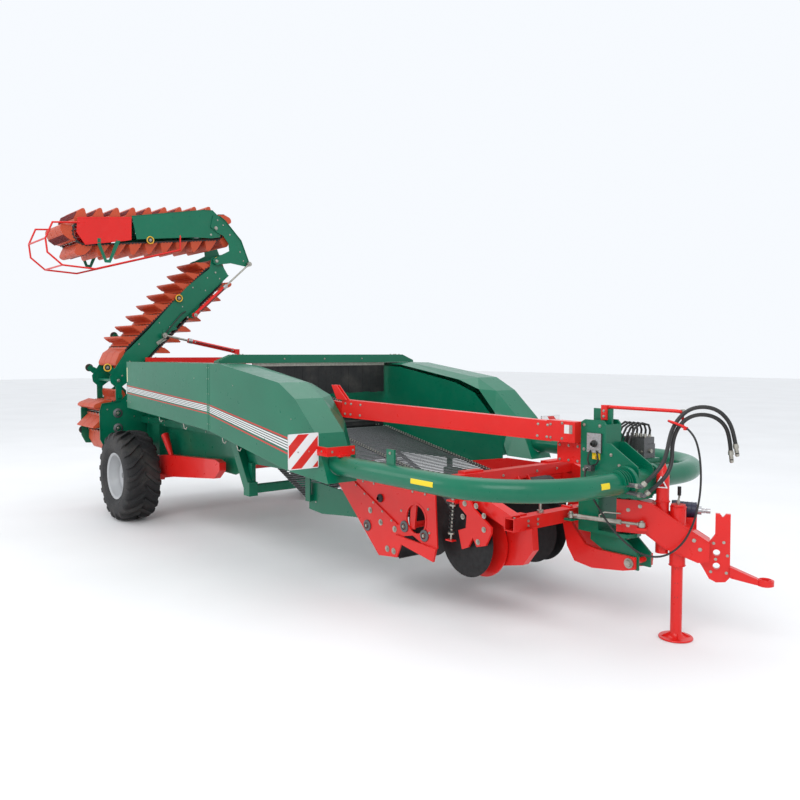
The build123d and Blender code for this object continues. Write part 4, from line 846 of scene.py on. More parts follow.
# elevator base: folded edges, bolts and black end cups of the rollers
BSP = [(-1.231, 1.403), (-1.467, 1.378), (-1.498, 1.280), (-1.498, .930), (-1.447, .828), (-1.138, .807)]
plate_trim("elevator_base_trim", "frame", [(-.556, 1), (-1.274, -1)], BSP, [(0, 1), (1, 2), (2, 3), (3, 4), (4, 5)],
           [(-1.27, 1.06, .020), (-1.27, 1.25, .020), (-1.40, 1.30, .010), (-1.15, 1.40, .010), (-1.42, .90, .010), (-1.0, 1.45, .010),
            (-1.06, 1.20, .009), (-1.06, 1.00, .009), (-1.254, 1.660, .022)], fold=.014)
mb = MB()
for y, z in ((-1.27, 1.06), (-1.27, 1.25)):
    mb.turn((-.556, y, z), (1, 0, 0), [(0, .060), (.006, .060), (.010, .052), (.018, .034), (.018, .0)][:-1], 24, 0)
for y, z in ((-1.390, 2.02), (-.600, 2.72), (-1.02, 2.29)):
    pass
mb.obj("elevator_base_bearings", M["cast"], "frame", smooth=40)


# ------------------------------------------------------------------ side panels
def skin_y(s):
    return s * 1.327


mb = MB()
mw = MB()
for s in (-1, 1):
    y0 = s * 1.3270
    # stripe band: red line, white and dark lines, red line; kinks at the split
    path_ = [(-.055, 1.620, 1.520), (2.166, 1.500, 1.398)], [(2.174, 1.499, 1.397), (3.905, 1.262, 1.110)]
    for (xa, ta, ba), (xb, tb_, bb) in path_:
        rows = [(0.00, .10, 0), (.17, .27, 1), (.33, .43, 1), (.49, .59, 1), (.65, .75, 1), (.90, 1.0, 0), (.13, .79, 2)]
        for f0, f1, mi in rows:
            za0, za1 = ta + (ba - ta) * f0, ta + (ba - ta) * f1
            zb0, zb1 = tb_ + (bb - tb_) * f0, tb_ + (bb - tb_) * f1
            th_ = .0006 if mi == 2 else .0011
            mb.prism([(xa, y0, za0), (xb, y0, zb0), (xb, y0, zb1), (xa, y0, za1)], (0, s * th_, 0), mi)
    # pale strip at the rear edge
    mb.box(-.050, -.030, y0, y0 + s * .0014, 1.660, 1.830, 3)
mb.obj("panel_stripes", [M["stripe_red"], M["blank_white"], M["green_dark"], M["pale_yellow"]], "frame", smooth=20)

mb = MB()
for s in (-1, 1):
    y0 = s * 1.327
    # rolled lower edges and hem of the rear panel, bolts along the seam, latches under it
    mb.tube([(-.060, y0 - s * .006, 1.352), (2.168, y0 - s * .006, 1.238)], .0065, 8)
    mb.tube([(2.172, y0 - s * .006, 1.238), (3.675, y0 - s * .006, 1.012), (4.305, y0 - s * .006, .972)], .0065, 8)
    mb.tube([(-.060, y0 - s * .004, 1.352), (-.060, y0 - s * .004, 1.897)], .0060, 8)
    mb.tube([(-.060, y0 - s * .004, 1.8975), (2.168, y0 - s * .004, 1.8975)], .0050, 8)
    for x in (2.150, 2.190):
        mb.bar((x, y0 - s * .0005, 1.245), (x, y0 - s * .0005, 1.890), .004, .020, up=(1, 0, 0))
        for z in (1.30, 1.45, 1.60, 1.75, 1.86):
            mb.bolt((x, y0, z), (0, s, 0), .0055, 1)
    for x, z in ((.30, 1.70), (1.0, 1.43), (1.85, 1.75), (2.7, 1.70), (3.3, 1.25), (3.75, 1.20), (3.75, 1.45), (.05, 1.42), (2.45, 1.28)):
        mb.bolt((x, y0, z), (0, s, 0), .0055, 1)
    # latch hooks and short chains that hang under the lower edge
    for x, z in ((1.55, 1.262), (2.45, 1.192), (2.75, 1.147), (.9, 1.296)):
        mb.tube([(x, y0 - s * .012, z + .03), (x, y0 - s * .012, z - .02), (x + .02, y0 - s * .012, z - .05), (x + .055, y0 - s * .012, z - .055),
                 (x + .08, y0 - s * .012, z - .03)], .005, 7, 1)
        mb.box(x - .012, x + .012, y0 - s * .018, y0 - s * .006, z + .005, z + .045, 1)
mb.obj("panel_edges", [M["green"], M["zinc"]], "frame", smooth=40)


# ------------------------------------------------------------------ marker boards, brackets, lamps
mb = MB()
for s in (-1, 1):
    for f, x in ((1, 4.172), (-1, 4.168)):
        y0, y1 = s * 1.3305, s * 1.6115
        z0, z1 = 1.0905, 1.3715
        # diagonal stripes, clipped to the square; they fall towards the outside
        w_ = .0705
        S_ = abs(y1 - y0)

        def clip(poly, a, b, lim, keep_lo):
            out = []
            for i in range(len(poly)):
                p, q = poly[i], poly[(i + 1) % len(poly)]
                fp, fq = a * p[0] + b * p[1] - lim, a * q[0] + b * q[1] - lim
                if not keep_lo:
                    fp, fq = -fp, -fq
                if fp <= 0:
                    out.append(p)
                if fp * fq < 0:
                    t = fp / (fp - fq)
                    out.append((p[0] + (q[0] - p[0]) * t, p[1] + (q[1] - p[1]) * t))
            return out
        k = 0
        d0 = -.0352
        while d0 < 2 * S_:
            poly_ = [(0, 0), (S_, 0), (S_, z1 - z0), (0, z1 - z0)]
            poly_ = clip(poly_, 1, 1, d0 + w_ * 1.4142, True)
            poly_ = clip(poly_, 1, 1, d0, False) if poly_ else poly_
            if len(poly_) > 2:
                mb.prism([(x, y0 + s * u_, z0 + v_) for u_, v_ in poly_], (f * .0006, 0, 0), 0 if k % 2 == 0 else 1)
            d0 += w_ * 1.4142
            k += 1
        # white frame round the board
        for a_, b_, c_, e_ in ((0, S_, 0, .006), (0, S_, z1 - z0 - .006, z1 - z0), (0, .006, 0, z1 - z0), (S_ - .006, S_, 0, z1 - z0)):
            mb.box(x + f * .0006, x + f * .0012, y0 + s * a_, y0 + s * b_, z0 + c_, z0 + e_, 1)
        for u_ in (.09, .19):
            mb.bolt((x + f * .0006, y0 + s * u_, 1.226), (f, 0, 0), .006, 2)
mb.obj("marker_board_faces", [M["board_red"], M["board_white"], M["zinc"]], "frame", smooth=30)
mb = MB()
for s in (-1, 1):
    for y in (1.10, 1.30):
        mb.bolt((4.3215, s * y, 1.226), (1, 0, 0), .010, 1)
    mb.bolt((4.24, s * 1.345, 1.226), (0, s, 0), .009, 1)
    mb.box(4.155, 4.32, s * 1.345, s * 1.3505, 1.252, 1.262, 0)
mb.obj("board_bracket_bolts", [M["red"], M["zinc"]], "frame", smooth=30)
mb = MB()
for s in (-1, 1):
    x = -1.330
    c = V((x, s * .775, 1.055))
    mb.prism([(x, s * .705, 1.003), (x, s * .845, 1.003), (x, s * .845, 1.107), (x, s * .705, 1.107)], (.018, 0, 0), 0)
    mb.prism([(x + .018, s * .700, 1.000), (x + .018, s * .850, 1.000), (x + .018, s * .850, 1.110), (x + .018, s * .700, 1.110)], (.021, 0, 0), 1)
    for i in range(6):
        y = s * (.715 + i * .022)
        mb.box(x, x + .001, y, y + s * .004, 1.008, 1.102, 1)
mb.obj("lamp_lenses", [M["lamp"], M["rubber"]], "frame", "rear_lamps", bevel=.004)

# ------------------------------------------------------------------ headstock, hydraulics
def rnd(c, axis, r0, r1, h0, h1, n=20):
    return c, axis, [(h0, r0), (h0, r1), (h1, r1), (h1, r0)], n


mb = MB()
# blank plates: yellow on the cheek, white below it, white on the brace's box
mb.box(5.905, 5.975, -.0935, -.092, 1.235, 1.300, 1)
mb.box(5.965, 6.010, -.0935, -.092, 1.035, 1.080, 2)
mb.box(5.700, 5.745, -.1615, -.160, 1.410, 1.475, 2)
mb.box(5.748, 5.775, -.1615, -.160, 1.410, 1.475, 3)
# panel with its frame, knob and pipes
mb.box(5.868, 5.992, -.1095, -.1081, 1.285, 1.425, 4)
mb.turn((5.935, -.110, 1.350), (0, -1, 0), [(0, .026), (.008, .026), (.012, .018), (.030, .016), (.034, .010)], 22, 5)
for dx, dz in ((-.045, .05), (.045, .05), (-.045, -.05), (.045, -.05)):
    mb.bolt((5.930 + dx, -.108, 1.355 + dz), (0, -1, 0), .006, 3)
mb.tube([(5.955, -.112, 1.300), (5.975, -.125, 1.270), (5.985, -.128, 1.230), (5.965, -.122, 1.205), (5.930, -.118, 1.192)], .0065, 8, 5)
mb.tube([(5.905, -.112, 1.300), (5.895, -.124, 1.270), (5.892, -.128, 1.230), (5.900, -.122, 1.195)], .0065, 8, 5)
mb.box(5.935, 5.960, -.128, -.110, 1.245, 1.262, 6)
# bolts on both cheeks and on the gussets
for s in (-1, 1):
    for x, z in ((5.83, 1.48), (5.97, 1.48), (5.83, 1.05), (5.83, 1.15), (6.07, 1.28), (6.14, 1.21), (6.00, 1.05), (5.83, 1.30)):
        mb.bolt((x, s * .092, z), (0, s, 0), .012, 3)
    for x, y in ((6.15, .125), (6.28, .125)):
        mb.bolt((x, s * y, 1.036), (0, 0, 1), .011, 3)
    # ribs on the ring tube beside the collars
    for k in range(4):
        y = s * (.185 + k * .026)
        mb.turn((6.220, y, 1.108), (0, 1, 0), [(0, .0785), (0, .100), (.006, .100), (.006, .0785)], 30, 0, arc=.5)
# pivot pin's head, retaining plate and nut
mb.cyl((6.140, 0, 1.000), (6.140, 0, 1.012), .046, 28, mi=3)
mb.cyl((6.140, 0, 1.012), (6.140, 0, 1.028), .030, 6, mi=3)
mb.box(6.150, 6.205, -.018, .018, 1.012, 1.019, 3)
mb.bolt((6.190, 0, 1.019), (0, 0, 1), .010, 3)
mb.cyl((6.140, 0, .676), (6.140, 0, .690), .034, 6, mi=3)
# cross pivot's nuts
for s in (-1, 1):
    mb.cyl((6.250, s * .112, .540), (6.250, s * .124, .540), .036, 28, mi=3)
    mb.cyl((6.250, s * .124, .540), (6.250, s * .140, .540), .026, 6, mi=3)
mb.obj("headstock_details", [M["green"], M["blank_yellow"], M["blank_white"], M["zinc"], M["board"], M["rubber"], M["yellow"]], "frame", smooth=34)

mb = MB()
# valve bank behind the headstock: slices, spools, unions and short hoses
for k in range(5):
    x = 5.915 + k * .037
    mb.box(x, x + .030, .2625, .3995, 1.3302, 1.3800, 0)
    mb.cyl((x + .015, .300, 1.380), (x + .015, .300, 1.408), .011, 14, mi=1)
    mb.cyl((x + .015, .360, 1.380), (x + .015, .360, 1.398), .013, 6, mi=1)
    mb.tube([(x + .015, .360, 1.395), (x + .015, .366, 1.430), (x + .01, .352, 1.470), (x - .01, .300, 1.485), (x - .03, .240, 1.450), (x - .035, .180, 1.360),
             (x - .030, .150, 1.270)], .0085, 9, 2)
    mb.bolt((x + .015, .2625, 1.275), (0, -1, 0), .009, 1)
    mb.bolt((x + .015, .400, 1.275), (0, 1, 0), .009, 1)
for p in ((5.900, .330, 1.28), (6.100, .330, 1.28)):
    d = (-1, 0, 0) if p[0] < 6 else (1, 0, 0)
    mb.cyl(p, V(p) + V(d) * .018, .017, 6, mi=1)
mb.obj("valve_bank", [M["cast"], M["zinc"], M["hose"]], "frame", smooth=35)
mb = MB()                                          # unions on the two hose pipes
for p, q in (((6.350, -.1635, 1.0412), (6.372, -.1635, 1.0395)), ((6.365, -.214, 1.1087), (6.387, -.214, 1.1089))):
    mb.cyl(p, q, .0185, 6, mi=0)
for p, d in (((6.430, -.150, 1.075), V((66, 22, 63)).normalized()), ((6.430, -.196, 1.140), V((52, 38, 66)).normalized())):
    mb.turn(V(p) - d * .030, d, [(0, .0152), (0, .0195), (.020, .0195), (.022, .0160), (.029, .0158)], 20, 0)
mb.turn((5.905, -.152, 1.168), V((27, -69.5, -19.2)).normalized(), [(-.014, .0092), (-.014, .0125), (-.004, .0125), (-.002, .0095)], 6, 0)
mb.obj("hose_unions", M["zinc"], "frame", smooth=35)

# hose guide: strap, bolts
mb = MB()
for s in (-1, 1):
    for z in (1.545, 1.585):
        mb.bolt((5.950, s * .024, z), (0, s, 0), .010, 0)
mb.turn((6.452, .192, 1.596), (0.25, .9, .1), [(-.013, .0135), (-.013, .018), (.013, .018), (.013, .0135)], 20, 0)
mb.obj("hose_guide_bolts", M["zinc"], "frame", smooth=35)

# ring tube: blank plates bent to the tube, weld beads at the stubs
mb = MB()
for x0, x1, a0, a1 in ((5.265, 5.500, -.16, .30),):
    n = 6
    for k in range(n):
        t0, t1 = a0 + (a1 - a0) * k / n, a0 + (a1 - a0) * (k + 1) / n
        r = .0792
        p = [(x, -1.2 - r * math.cos(t), 1.108 + r * math.sin(t)) for x, t in ((x0, t0), (x1, t0), (x1, t1), (x0, t1))]
        mb.prism(p, (0, -.0008, 0), 0)
n = 6
for k in range(n):
    t0, t1 = -.10 + .52 * k / n, -.10 + .52 * (k + 1) / n
    r = .0792
    p = [(6.22 + r * math.cos(t), y, 1.108 + r * math.sin(t)) for y, t in ((-.50, t0), (-.41, t0), (-.41, t1), (-.50, t1))]
    mb.prism(p, (.0008, 0, 0), 0)
mb.obj("ring_blank_plates", M["blank_yellow"], "frame", smooth=40)
mb = MB()
for s in (-1, 1):
    ring3(mb, V((4.062, s * 1.2, 1.108)), (1, 0, 0), .080, .006, 40)
    for q in (4.900, 4.990):
        mb.tube([(q, s * 1.1915, 1.186), (q, s * 1.2085, 1.186)], .005, 8)
    for x, z in ((4.945, 1.27),):
        mb.bolt((x, s * 1.2085, z), (0, s, 0), .011, 1)
    mb.turn((4.105, s * 1.2, 1.108), (1, 0, 0), [(-.035, .0785), (-.035, .106), (-.018, .106), (-.018, .0785)], 40, 0)
    for k in range(8):
        t = 2 * math.pi * (k + .5) / 8
        mb.bolt((4.087, s * 1.2 + .093 * math.cos(t), 1.108 + .093 * math.sin(t)), (1, 0, 0), .008, 1)
mb.obj("ring_flanges", [M["green"], M["zinc"]], "frame", smooth=40)

# gearbox and its guard, brace bolts
mb = MB()
for s in (-1, 1):
    for x in (5.585, 5.67, 5.755):
        for z in (1.20, 1.31):
            mb.bolt((x, s * .070, z), (0, s, 0), .010, 1)
for k in range(6):
    x = 5.575 + k * .036
    mb.box(x, x + .008, -.068, .068, 1.330, 1.344, 0)
for x, z in ((5.57, 1.37), (5.57, 1.47), (5.68, 1.37), (5.68, 1.485)):
    mb.bolt((x, -.160, z), (0, -1, 0), .010, 1)
mb.obj("gearbox_details", [M["red"], M["zinc"]], "frame", smooth=35)
mb = MB()
a, b = V((5.560, -.115, 1.415)), V((3.840, -.850, 1.530))
d = (b - a).normalized()
side = V((0, 0, 1)).cross(d).normalized()
up = d.cross(side)
if up.z < 0:
    up = -up
if side.y > 0:
    side = -side
for t in (.02, .06, .90, .95, .98):
    for w_ in (-.045, .045):
        mb.bolt(a + (b - a) * t + side * .040 + up * w_, side, .010, 1)
# folded flange along the lower edge and cap plates
mb.bar(a + side * .044 - up * .073, b + side * .044 - up * .073, .008, .004, up=tuple(up))
mb.bar(a + up * .0752, b + up * .0752, .076, .0015, up=tuple(up))
# finger bracket that stands on the beam
q = a + (b - a) * .97 + up * .075
mb.prism([q, q + d * .10, q + d * .16 + up * .12, q + d * .11 + up * .12], side * .012, 0)
mb.prism([q + side * .045, q + side * .045 + d * .10, q + side * .045 + d * .16 + up * .12, q + side * .045 + d * .11 + up * .12], side * .012, 0)
mb.obj("brace_details", [M["red"], M["zinc"]], "frame", smooth=35)


# ------------------------------------------------------------------ drawbar
DA = math.radians(29.3)


def dbp(s, w_, z):
    return V((6.14 + s * math.cos(DA) - w_ * math.sin(DA), s * math.sin(DA) + w_ * math.cos(DA), z))


DS, DW = V((math.cos(DA), math.sin(DA), 0)), V((-math.sin(DA), math.cos(DA), 0))
mb = MB()
for s in (-1, 1):
    w_ = s * .075
    for p in ((.10, .930), (.02, .90), (.02, .79), (.50, .66), (.46, .72)):
        mb.bolt(dbp(p[0], w_, p[1]), DW * s, .013, 1)
    # weld beads along the box's lower edge and round the stand's tube
    mb.tube([dbp(.144, w_, .737), dbp(.264, w_, .651), dbp(.491, w_, .568)], .0045, 8)
    mb.tube([dbp(.080, w_, .970), dbp(.177, w_, .953), dbp(.407, w_, .803), dbp(.558, w_, .710)], .0045, 8)
for z in (.937,):
    ring3(mb, dbp(.350, 0, z - .004), (0, 0, 1), .0535, .004, 36)
ring3(mb, dbp(.350, 0, .522), (0, 0, 1), .0545, .004, 36)
ring3(mb, dbp(.245, 0, .965), (0, 0, 1), .046, .006, 36)
# reflector on the post: red triangle in a white rim
c = dbp(.245, 0, 1.10)
f = V((.30, -.954, 0)).normalized()
h = V((0, 0, 1)).cross(f).normalized()
c = c + f * .0445
tri = [c + V((0, 0, .050)) , c + h * .046 - V((0, 0, .034)), c - h * .046 - V((0, 0, .034))]
mb.prism(tri, f * .006, 4)
m3 = sum(tri, V((0, 0, 0))) / 3 + f * .006
mb.prism([m3 + (t - f * 0 - m3 + f * .006) * .72 for t in tri], f * .0025, 3)
# sleeves on the hitch plate's two holes, bolts, and the plate's edge
for z in (.635, .543):
    for s in (-1, 1):
        mb.turn(dbp(.605, s * .018, z), DW * s, [(0, .0235), (0, .030), (.004, .030), (.004, .0235)], 30, 0)
for p in ((.585, .70), (.545, .62), (.65, .71), (.67, .50), (.57, .50), (.675, .62), (.60, .59)):
    for s in (-1, 1):
        mb.bolt(dbp(p[0], s * .018, p[1]), DW * s, .010, 1)
mb.obj("drawbar_details", [M["red"], M["zinc"], M["rubber"], M["lamp"], M["board_white"]], "drawbar", smooth=34)
mb = MB()                                          # ring bead and gussets of the towing eye
ring3(mb, dbp(.915, 0, .474), (0, 0, 1), .040, .005, 36)
ring3(mb, dbp(.915, 0, .436), (0, 0, 1), .040, .005, 36)
for s in (-1, 1):
    mb.tube([dbp(.700, s * .030, .472), dbp(.855, s * .030, .444)], .004, 8)
    mb.tube([dbp(.694, s * .028, .475), dbp(.694, s * .028, .543)], .005, 8)
mb.obj("towing_eye_beads", M["red"], "drawbar", smooth=40)
mb = MB()                                          # guard of the drive shaft
p0 = dbp(.300, .14, .89)
mb.turn(p0, DS, [(.000, .058), (.000, .062), (.030, .064), (.034, .060), (.060, .058), (.150, .055), (.165, .058), (.168, .0545), (.150, .0515), (.060, .054)], 36, 0, closed=True)
for k in range(4):
    ring3(mb, p0 + DS * (.045 + k * .030), DS, .0585 - k * .0006, .0022, 36)
mb.tube([dbp(.40, .20, .905), dbp(.41, .215, .87), dbp(.42, .210, .83), dbp(.40, .195, .80)], .003, 7, 1)
mb.obj("shaft_guard", [M["guard_blue"], M["zinc"]], "drawbar", smooth=40)
mb = MB()                                          # splined shaft end with its groove
p0 = dbp(.290, .14, .89)
mb.cyl(p0, p0 + DS * .172, .0172, 28)
mb.cyl(p0 + DS * .172, p0 + DS * .210, .0298, 28)
prof = []
nn = 6
for k in range(nn):
    t = 2 * math.pi * k / nn
    for dt, r in ((-.30, .0150), (-.22, .0174), (.22, .0174), (.30, .0150)):
        prof.append((r * math.cos(t + dt), r * math.sin(t + dt)))
x_, y_ = DW, V((0, 0, 1))
for s0, s1, k_ in ((.210, .232, 1.0), (.2325, .2375, .86), (.238, .269, 1.0)):
    mb.prism([p0 + DS * s0 + x_ * a * k_ + y_ * b * k_ for a, b in prof], DS * (s1 - s0))
mb.obj("drive_shaft_spline", M["steel"], "drive_shaft", "drive_shaft", smooth=30)
mb = MB()                                          # stand: leg with pin holes, dished foot
c = dbp(.350, 0, 0)
mb.turn(c, (0, 0, 1), [(.000, .020), (.000, .108), (.003, .117), (.008, .1178), (.013, .114), (.014, .080), (.015, .070), (.026, .052), (.042, .0400), (.050, .0394),
                       (.868, .0394), (.870, .030), (.870, .012)], 48, 0)
for z in (.30, .40, .50):
    for s in (-1, 1):
        mb.turn(c + V((0, 0, z)) + DW * (s * .0392), DW * s, [(-.004, .010), (-.0007, .0105), (-.0006, .007), (-.004, .0065)], 16, 1)
for k in range(4):
    t = math.pi / 4 + math.pi / 2 * k
    e = V((math.cos(t), math.sin(t), 0))
    w_ = V((-e.y, e.x, 0)) * .003
    mb.prism([c + e * .050 + V((0, 0, .014)) - w_, c + e * .100 + V((0, 0, .0145)) - w_, c + e * .0405 + V((0, 0, .046)) - w_], w_ * 2, 0)
mb.obj("stand_foot_leg", [M["red"], M["rubber"]], "stand", "stand_leg", smooth=34)
mb = MB()                                          # the leg's top: neck, cap and crank, which rise with it
mb.cyl(dbp(.350, 0, .862), dbp(.350, 0, .9375), .029, 28, mi=0)
mb.cyl(dbp(.350, 0, .9375), dbp(.350, 0, .9500), .050, 30, mi=0)
mb.cyl(dbp(.350, 0, .950), dbp(.350, 0, .978), .012, 14, mi=1)
mb.tube([dbp(.350, 0, .972), dbp(.350, .02, .978), dbp(.350, .115, .978), dbp(.350, .125, .984), dbp(.350, .125, 1.035)], .007, 10, 1)
mb.tube([dbp(.350, .125, .992), dbp(.350, .125, 1.055)], .013, 14, 2)
mb.obj("stand_crank", [M["red"], M["zinc"], M["rubber"]], "stand", smooth=34)

# screw strut: turnbuckle tube with hexagons, threaded rod, ball ends
J0, L0 = V((5.803, -.200, .817)), dbp(.120, -.150, .817)
du_ = (L0 - J0).normalized()
mb = MB()
mb.turn(J0, (0, 0, 1), [(-.016, .0125), (-.016, .021), (-.010, .022), (.010, .022), (.016, .021), (.016, .0125)], 28, 0, closed=True)
mb.turn(J0, du_, [(.019, .0125), (.040, .0165), (.375, .0168), (.385, .0150), (.385, .0118), (.380, .0116), (.10, .0116)], 24, 0)
mb.cyl(J0 + du_ * .060, J0 + du_ * .085, .0185, 6)
mb.cyl(J0 + du_ * .357, J0 + du_ * .385, .0185, 6)
mb.tube([J0 + du_ * .22, J0 + du_ * .22 + V((0, 0, .03)), J0 + du_ * .26 + V((0, 0, .055)), J0 + du_ * .38 + V((0, 0, .060))], .006, 9)
mb.obj("strut_turnbuckle", M["zinc"], "strut_tube", "strut_tube", smooth=34)
mb = MB()
L_ = (L0 - J0).length
prof = []
k = 0
h_ = .270
while h_ < L_ - .042:
    prof += [(h_, .0092), (h_ + .0025, .0108)]
    h_ += .005
prof += [(L_ - .036, .0108), (L_ - .031, .0150), (L_ - .021, .0150)]
mb.turn(J0, du_, [(.270, .001)] + prof, 18, 0)
mb.turn(L0, (0, 0, 1), [(-.016, .0125), (-.016, .025), (-.010, .026), (.010, .026), (.016, .025), (.016, .0125)], 28, 0, closed=True)
mb.cyl(L0 + V((0, 0, -.020)), L0 + V((0, 0, .020)), .012, 18)
mb.bolt(L0 + V((0, 0, .018)), (0, 0, 1), .015)
mb.obj("strut_thread", M["zinc"], "strut_screw", "strut_screw", smooth=34)
mb = MB()
mb.bolt(J0 + V((0, 0, .020)), (0, 0, 1), .015)
mb.obj("strut_pin_head", M["zinc"], "frame", smooth=34)

# ------------------------------------------------------------------ digging unit
for i_, y_d in enumerate((-.750, -.060, .060, .750)):
    mb = MB()
    c = V((5.280, y_d, .620))
    sgn = 1
    # dished blade with a ground edge, hub and six bolts
    mb.turn(c, (0, 1, 0), [(-.0038, .0166), (-.0038, .105), (-.0038, .185), (-.0036, .255), (-.0006, .2748), (.0006, .2748), (.0038, .245), (.0038, .185),
                           (.0038, .105), (.0038, .046), (.0040, .0445), (.0150, .0445), (.0158, .0430), (.0158, .0166)], 72, 0, closed=True)
    mb.turn(c, (0, 1, 0), [(-.0078, .0166), (-.0078, .043), (-.0070, .0446), (-.0036, .0446), (-.0036, .0166)], 40, 1, closed=True)
    for k in range(6):
        t = math.pi / 3 * k
        mb.bolt(c + V((.0345 * math.cos(t), -.0040, .0345 * math.sin(t))), (0, -1, 0), .0050, 2)
        mb.bolt(c + V((.070 * math.cos(t), -.0038, .070 * math.sin(t))), (0, -1, 0), .0062, 2) if False else None
    mb.obj("disc_blade_%d" % (i_ + 1), [M["disc"], M["disc"], M["zinc"]], "disc_%d" % (i_ + 1), "disc_coulter_%d" % (i_ + 1), smooth=30)
for nm, yc in (("right", -.375), ("left", .375)):
    mb = MB()
    c = V((4.780, yc, .660))
    for k in range(9):                              # rubber ribs round the ridge roller
        h = -.270 + k * .0675
        r_ = .185 + (.265 - .185) * max(0.0, (abs(h) - .140) / .160) - .0015
        ring3(mb, c + V((0, h, 0)), V((0, 1, 0)), r_ - .0042, .0052, 48, 0, 8)
    mb.obj("ridge_ribs_" + nm, [M["rubber"]], "ridge_roller_" + nm, smooth=40)

mb = MB()
for s in (-1, 1):
    y0 = s * .8905
    ys = s * .8722
    n_ = V((0, s, 0))
    # cups with bolts on the lower arm, knob, castings along the sloping edge
    for x, z, r in ((4.640, .520, .013), (5.045, .520, .013), (4.700, .535, .010), (4.980, .525, .010)):
        mb.bolt((x, ys + s * .012, z), n_, r, 0) if False else None
    for x, z in ((4.576, .597), (4.563, .416), (4.392, .622), (4.250, .700), (4.480, .420)):
        mb.cyl((x, ys, z), (x, ys + s * .004, z), .026, 24, mi=0)
        mb.bolt((x, ys + s * .004, z), n_, .014, 0)
    for x, z in ((4.950, .930), (4.800, .930), (4.300, .930), (4.150, .930), (5.000, .640), (4.660, .760), (4.985, .820)):
        mb.bolt((x, ys, z), n_, .010, 0)
    mb.turn((4.392, ys, .822), n_, [(0, .030), (.004, .034), (.014, .034), (.018, .030), (.026, .016), (.034, .014)], 26, 3)
    for x, z in ((4.212, .467 + .10), (4.703, .641), (4.945, .610)):
        mb.turn((x, ys, z), n_, [(0, .046), (.010, .046), (.013, .042), (.013, .026), (.018, .024), (.018, .0)][:-1], 28, 2)
        mb.bolt((x, ys + s * .013, z), n_, .015, 0)
    # rim round the window
    mb.turn((4.840, ys, .720), n_, [(-.010, .1195), (-.010, .1120), (.003, .1120), (.003, .1290), (.0002, .1290)], 48, 1)
    # bolts of the long stiffener
    for k in range(5):
        t = .12 + k * .19
        x, z = 3.990 + (4.625 - 3.990) * t, .934 + (.640 - .934) * t
        mb.bolt((x, s * .8842, z - .012), n_, .009, 0)
    # bracket plates: bolts and ring clamp
    yb = s * .7905
    for x, z in ((5.500, .740), (5.500, .840), (5.420, .900), (5.300, .900), (5.280, .800), (5.440, .640)):
        mb.cyl((x, yb, z), (x, yb + s * .003, z), .021, 22, mi=0)
        mb.bolt((x, yb + s * .003, z), n_, .012, 0)
    # spring strut behind the bracket
    p, q = V((5.200, s * .812, .915)), V((5.175, s * .812, .600))
    mb.cyl(p, q, .009, 16, mi=0)
    u = (q - p).normalized()
    a_, b_ = V((1, 0, 0)), V((0, 1, 0))
    coil = []
    for k in range(7 * 12 + 1):
        t = 2 * math.pi * k / 12
        coil.append(p + u * (.045 + .0285 * k / 12) + a_ * (.021 * math.cos(t)) + b_ * (.021 * math.sin(t)))
    mb.tube(coil, .0045, 7, 3)
    mb.cyl(p + u * .030, p + u * .044, .027, 24, mi=0)
    mb.cyl(p + u * .246, p + u * .258, .027, 24, mi=0)
    mb.cyl(p - u * .012, p + u * .012, .018, 6, mi=0)
    mb.box(5.150, 5.235, s * .790 if s > 0 else s * .836, s * .836 if s > 0 else s * .790, .902, .914, 1)
    mb.box(5.140, 5.210, s * .790 if s > 0 else s * .836, s * .836 if s > 0 else s * .790, .604, .614, 1)
    # depth disc: hub cap, bolts
    c = V((5.330, s * .6505, .605))
    mb.turn(c, n_, [(0, .060), (.004, .064), (.012, .064), (.016, .058), (.018, .034), (.030, .030), (.033, .024)], 34, 1)
    for k in range(5):
        t = 2 * math.pi * k / 5
        mb.bolt(c + V((.047 * math.cos(t), s * .014, .047 * math.sin(t))), n_, .007, 0)
# crossbar: clamps with bolts over each coulter fork, T-handle spindles, zinc pipe
for y in (-.750, -.060, .060, .750):
    yy = y + .028 if y < .7 else y - .028
    for dx in (-.030, .030):
        mb.bolt((5.700 + dx, yy, .8502), (0, 0, 1), .010, 0)
for y in (-.420, .420):
    mb.cyl((5.702, y, .8502), (5.702, y, .868), .024, 24, mi=0)
    mb.cyl((5.702, y, .868), (5.702, y, .985), .011, 16, mi=0)
    mb.cyl((5.702, y - .060, .980), (5.702, y + .060, .980), .008, 14, mi=0)
    for e in (-1, 1):
        mb.cyl((5.702, y + e * .060, .980), (5.702, y + e * .072, .980), .0115, 16, mi=3)
for s in (-1, 1):
    for z in (.785, .820):
        mb.bolt((5.7502, s * .600, z), (1, 0, 0), .010, 0)
        mb.bolt((5.7502, s * .500, z), (1, 0, 0), .010, 0)
    for y in (.20, .45, .70):
        mb.bolt((5.1202, s * y, 1.030), (1, 0, 0), .011, 0)
mb.obj("digging_unit_fittings", [M["zinc"], M["red"], M["cast"], M["rubber"]], "digging_unit", smooth=34)

mb = MB()                                          # share: blades side by side with countersunk bolts
for k in range(7):
    y = -.855 + k * (1.710 / 7)
    y1 = y + 1.710 / 7 - .004
    a = [(4.3505, .5175), (4.3560, .5235), (4.636, .3735), (4.6145, .3615)]
    mb.prism([(a[0][0], y, a[0][1]), (a[1][0], y, a[1][1]), (a[2][0], y, a[2][1]), (a[3][0], y, a[3][1])], (0, y1 - y, 0), 0)
    for f in (.28, .72):
        yy = y + (y1 - y) * f
        mb.turn((4.440, yy, .4787), V((.149, 0, .277)).normalized(), [(.0002, .017), (.0016, .0165), (.0016, .007), (.0002, .006)], 20, 1)
mb.obj("share_blades", [M["disc"], M["zinc"]], "digging_unit", "digging_share", smooth=28)

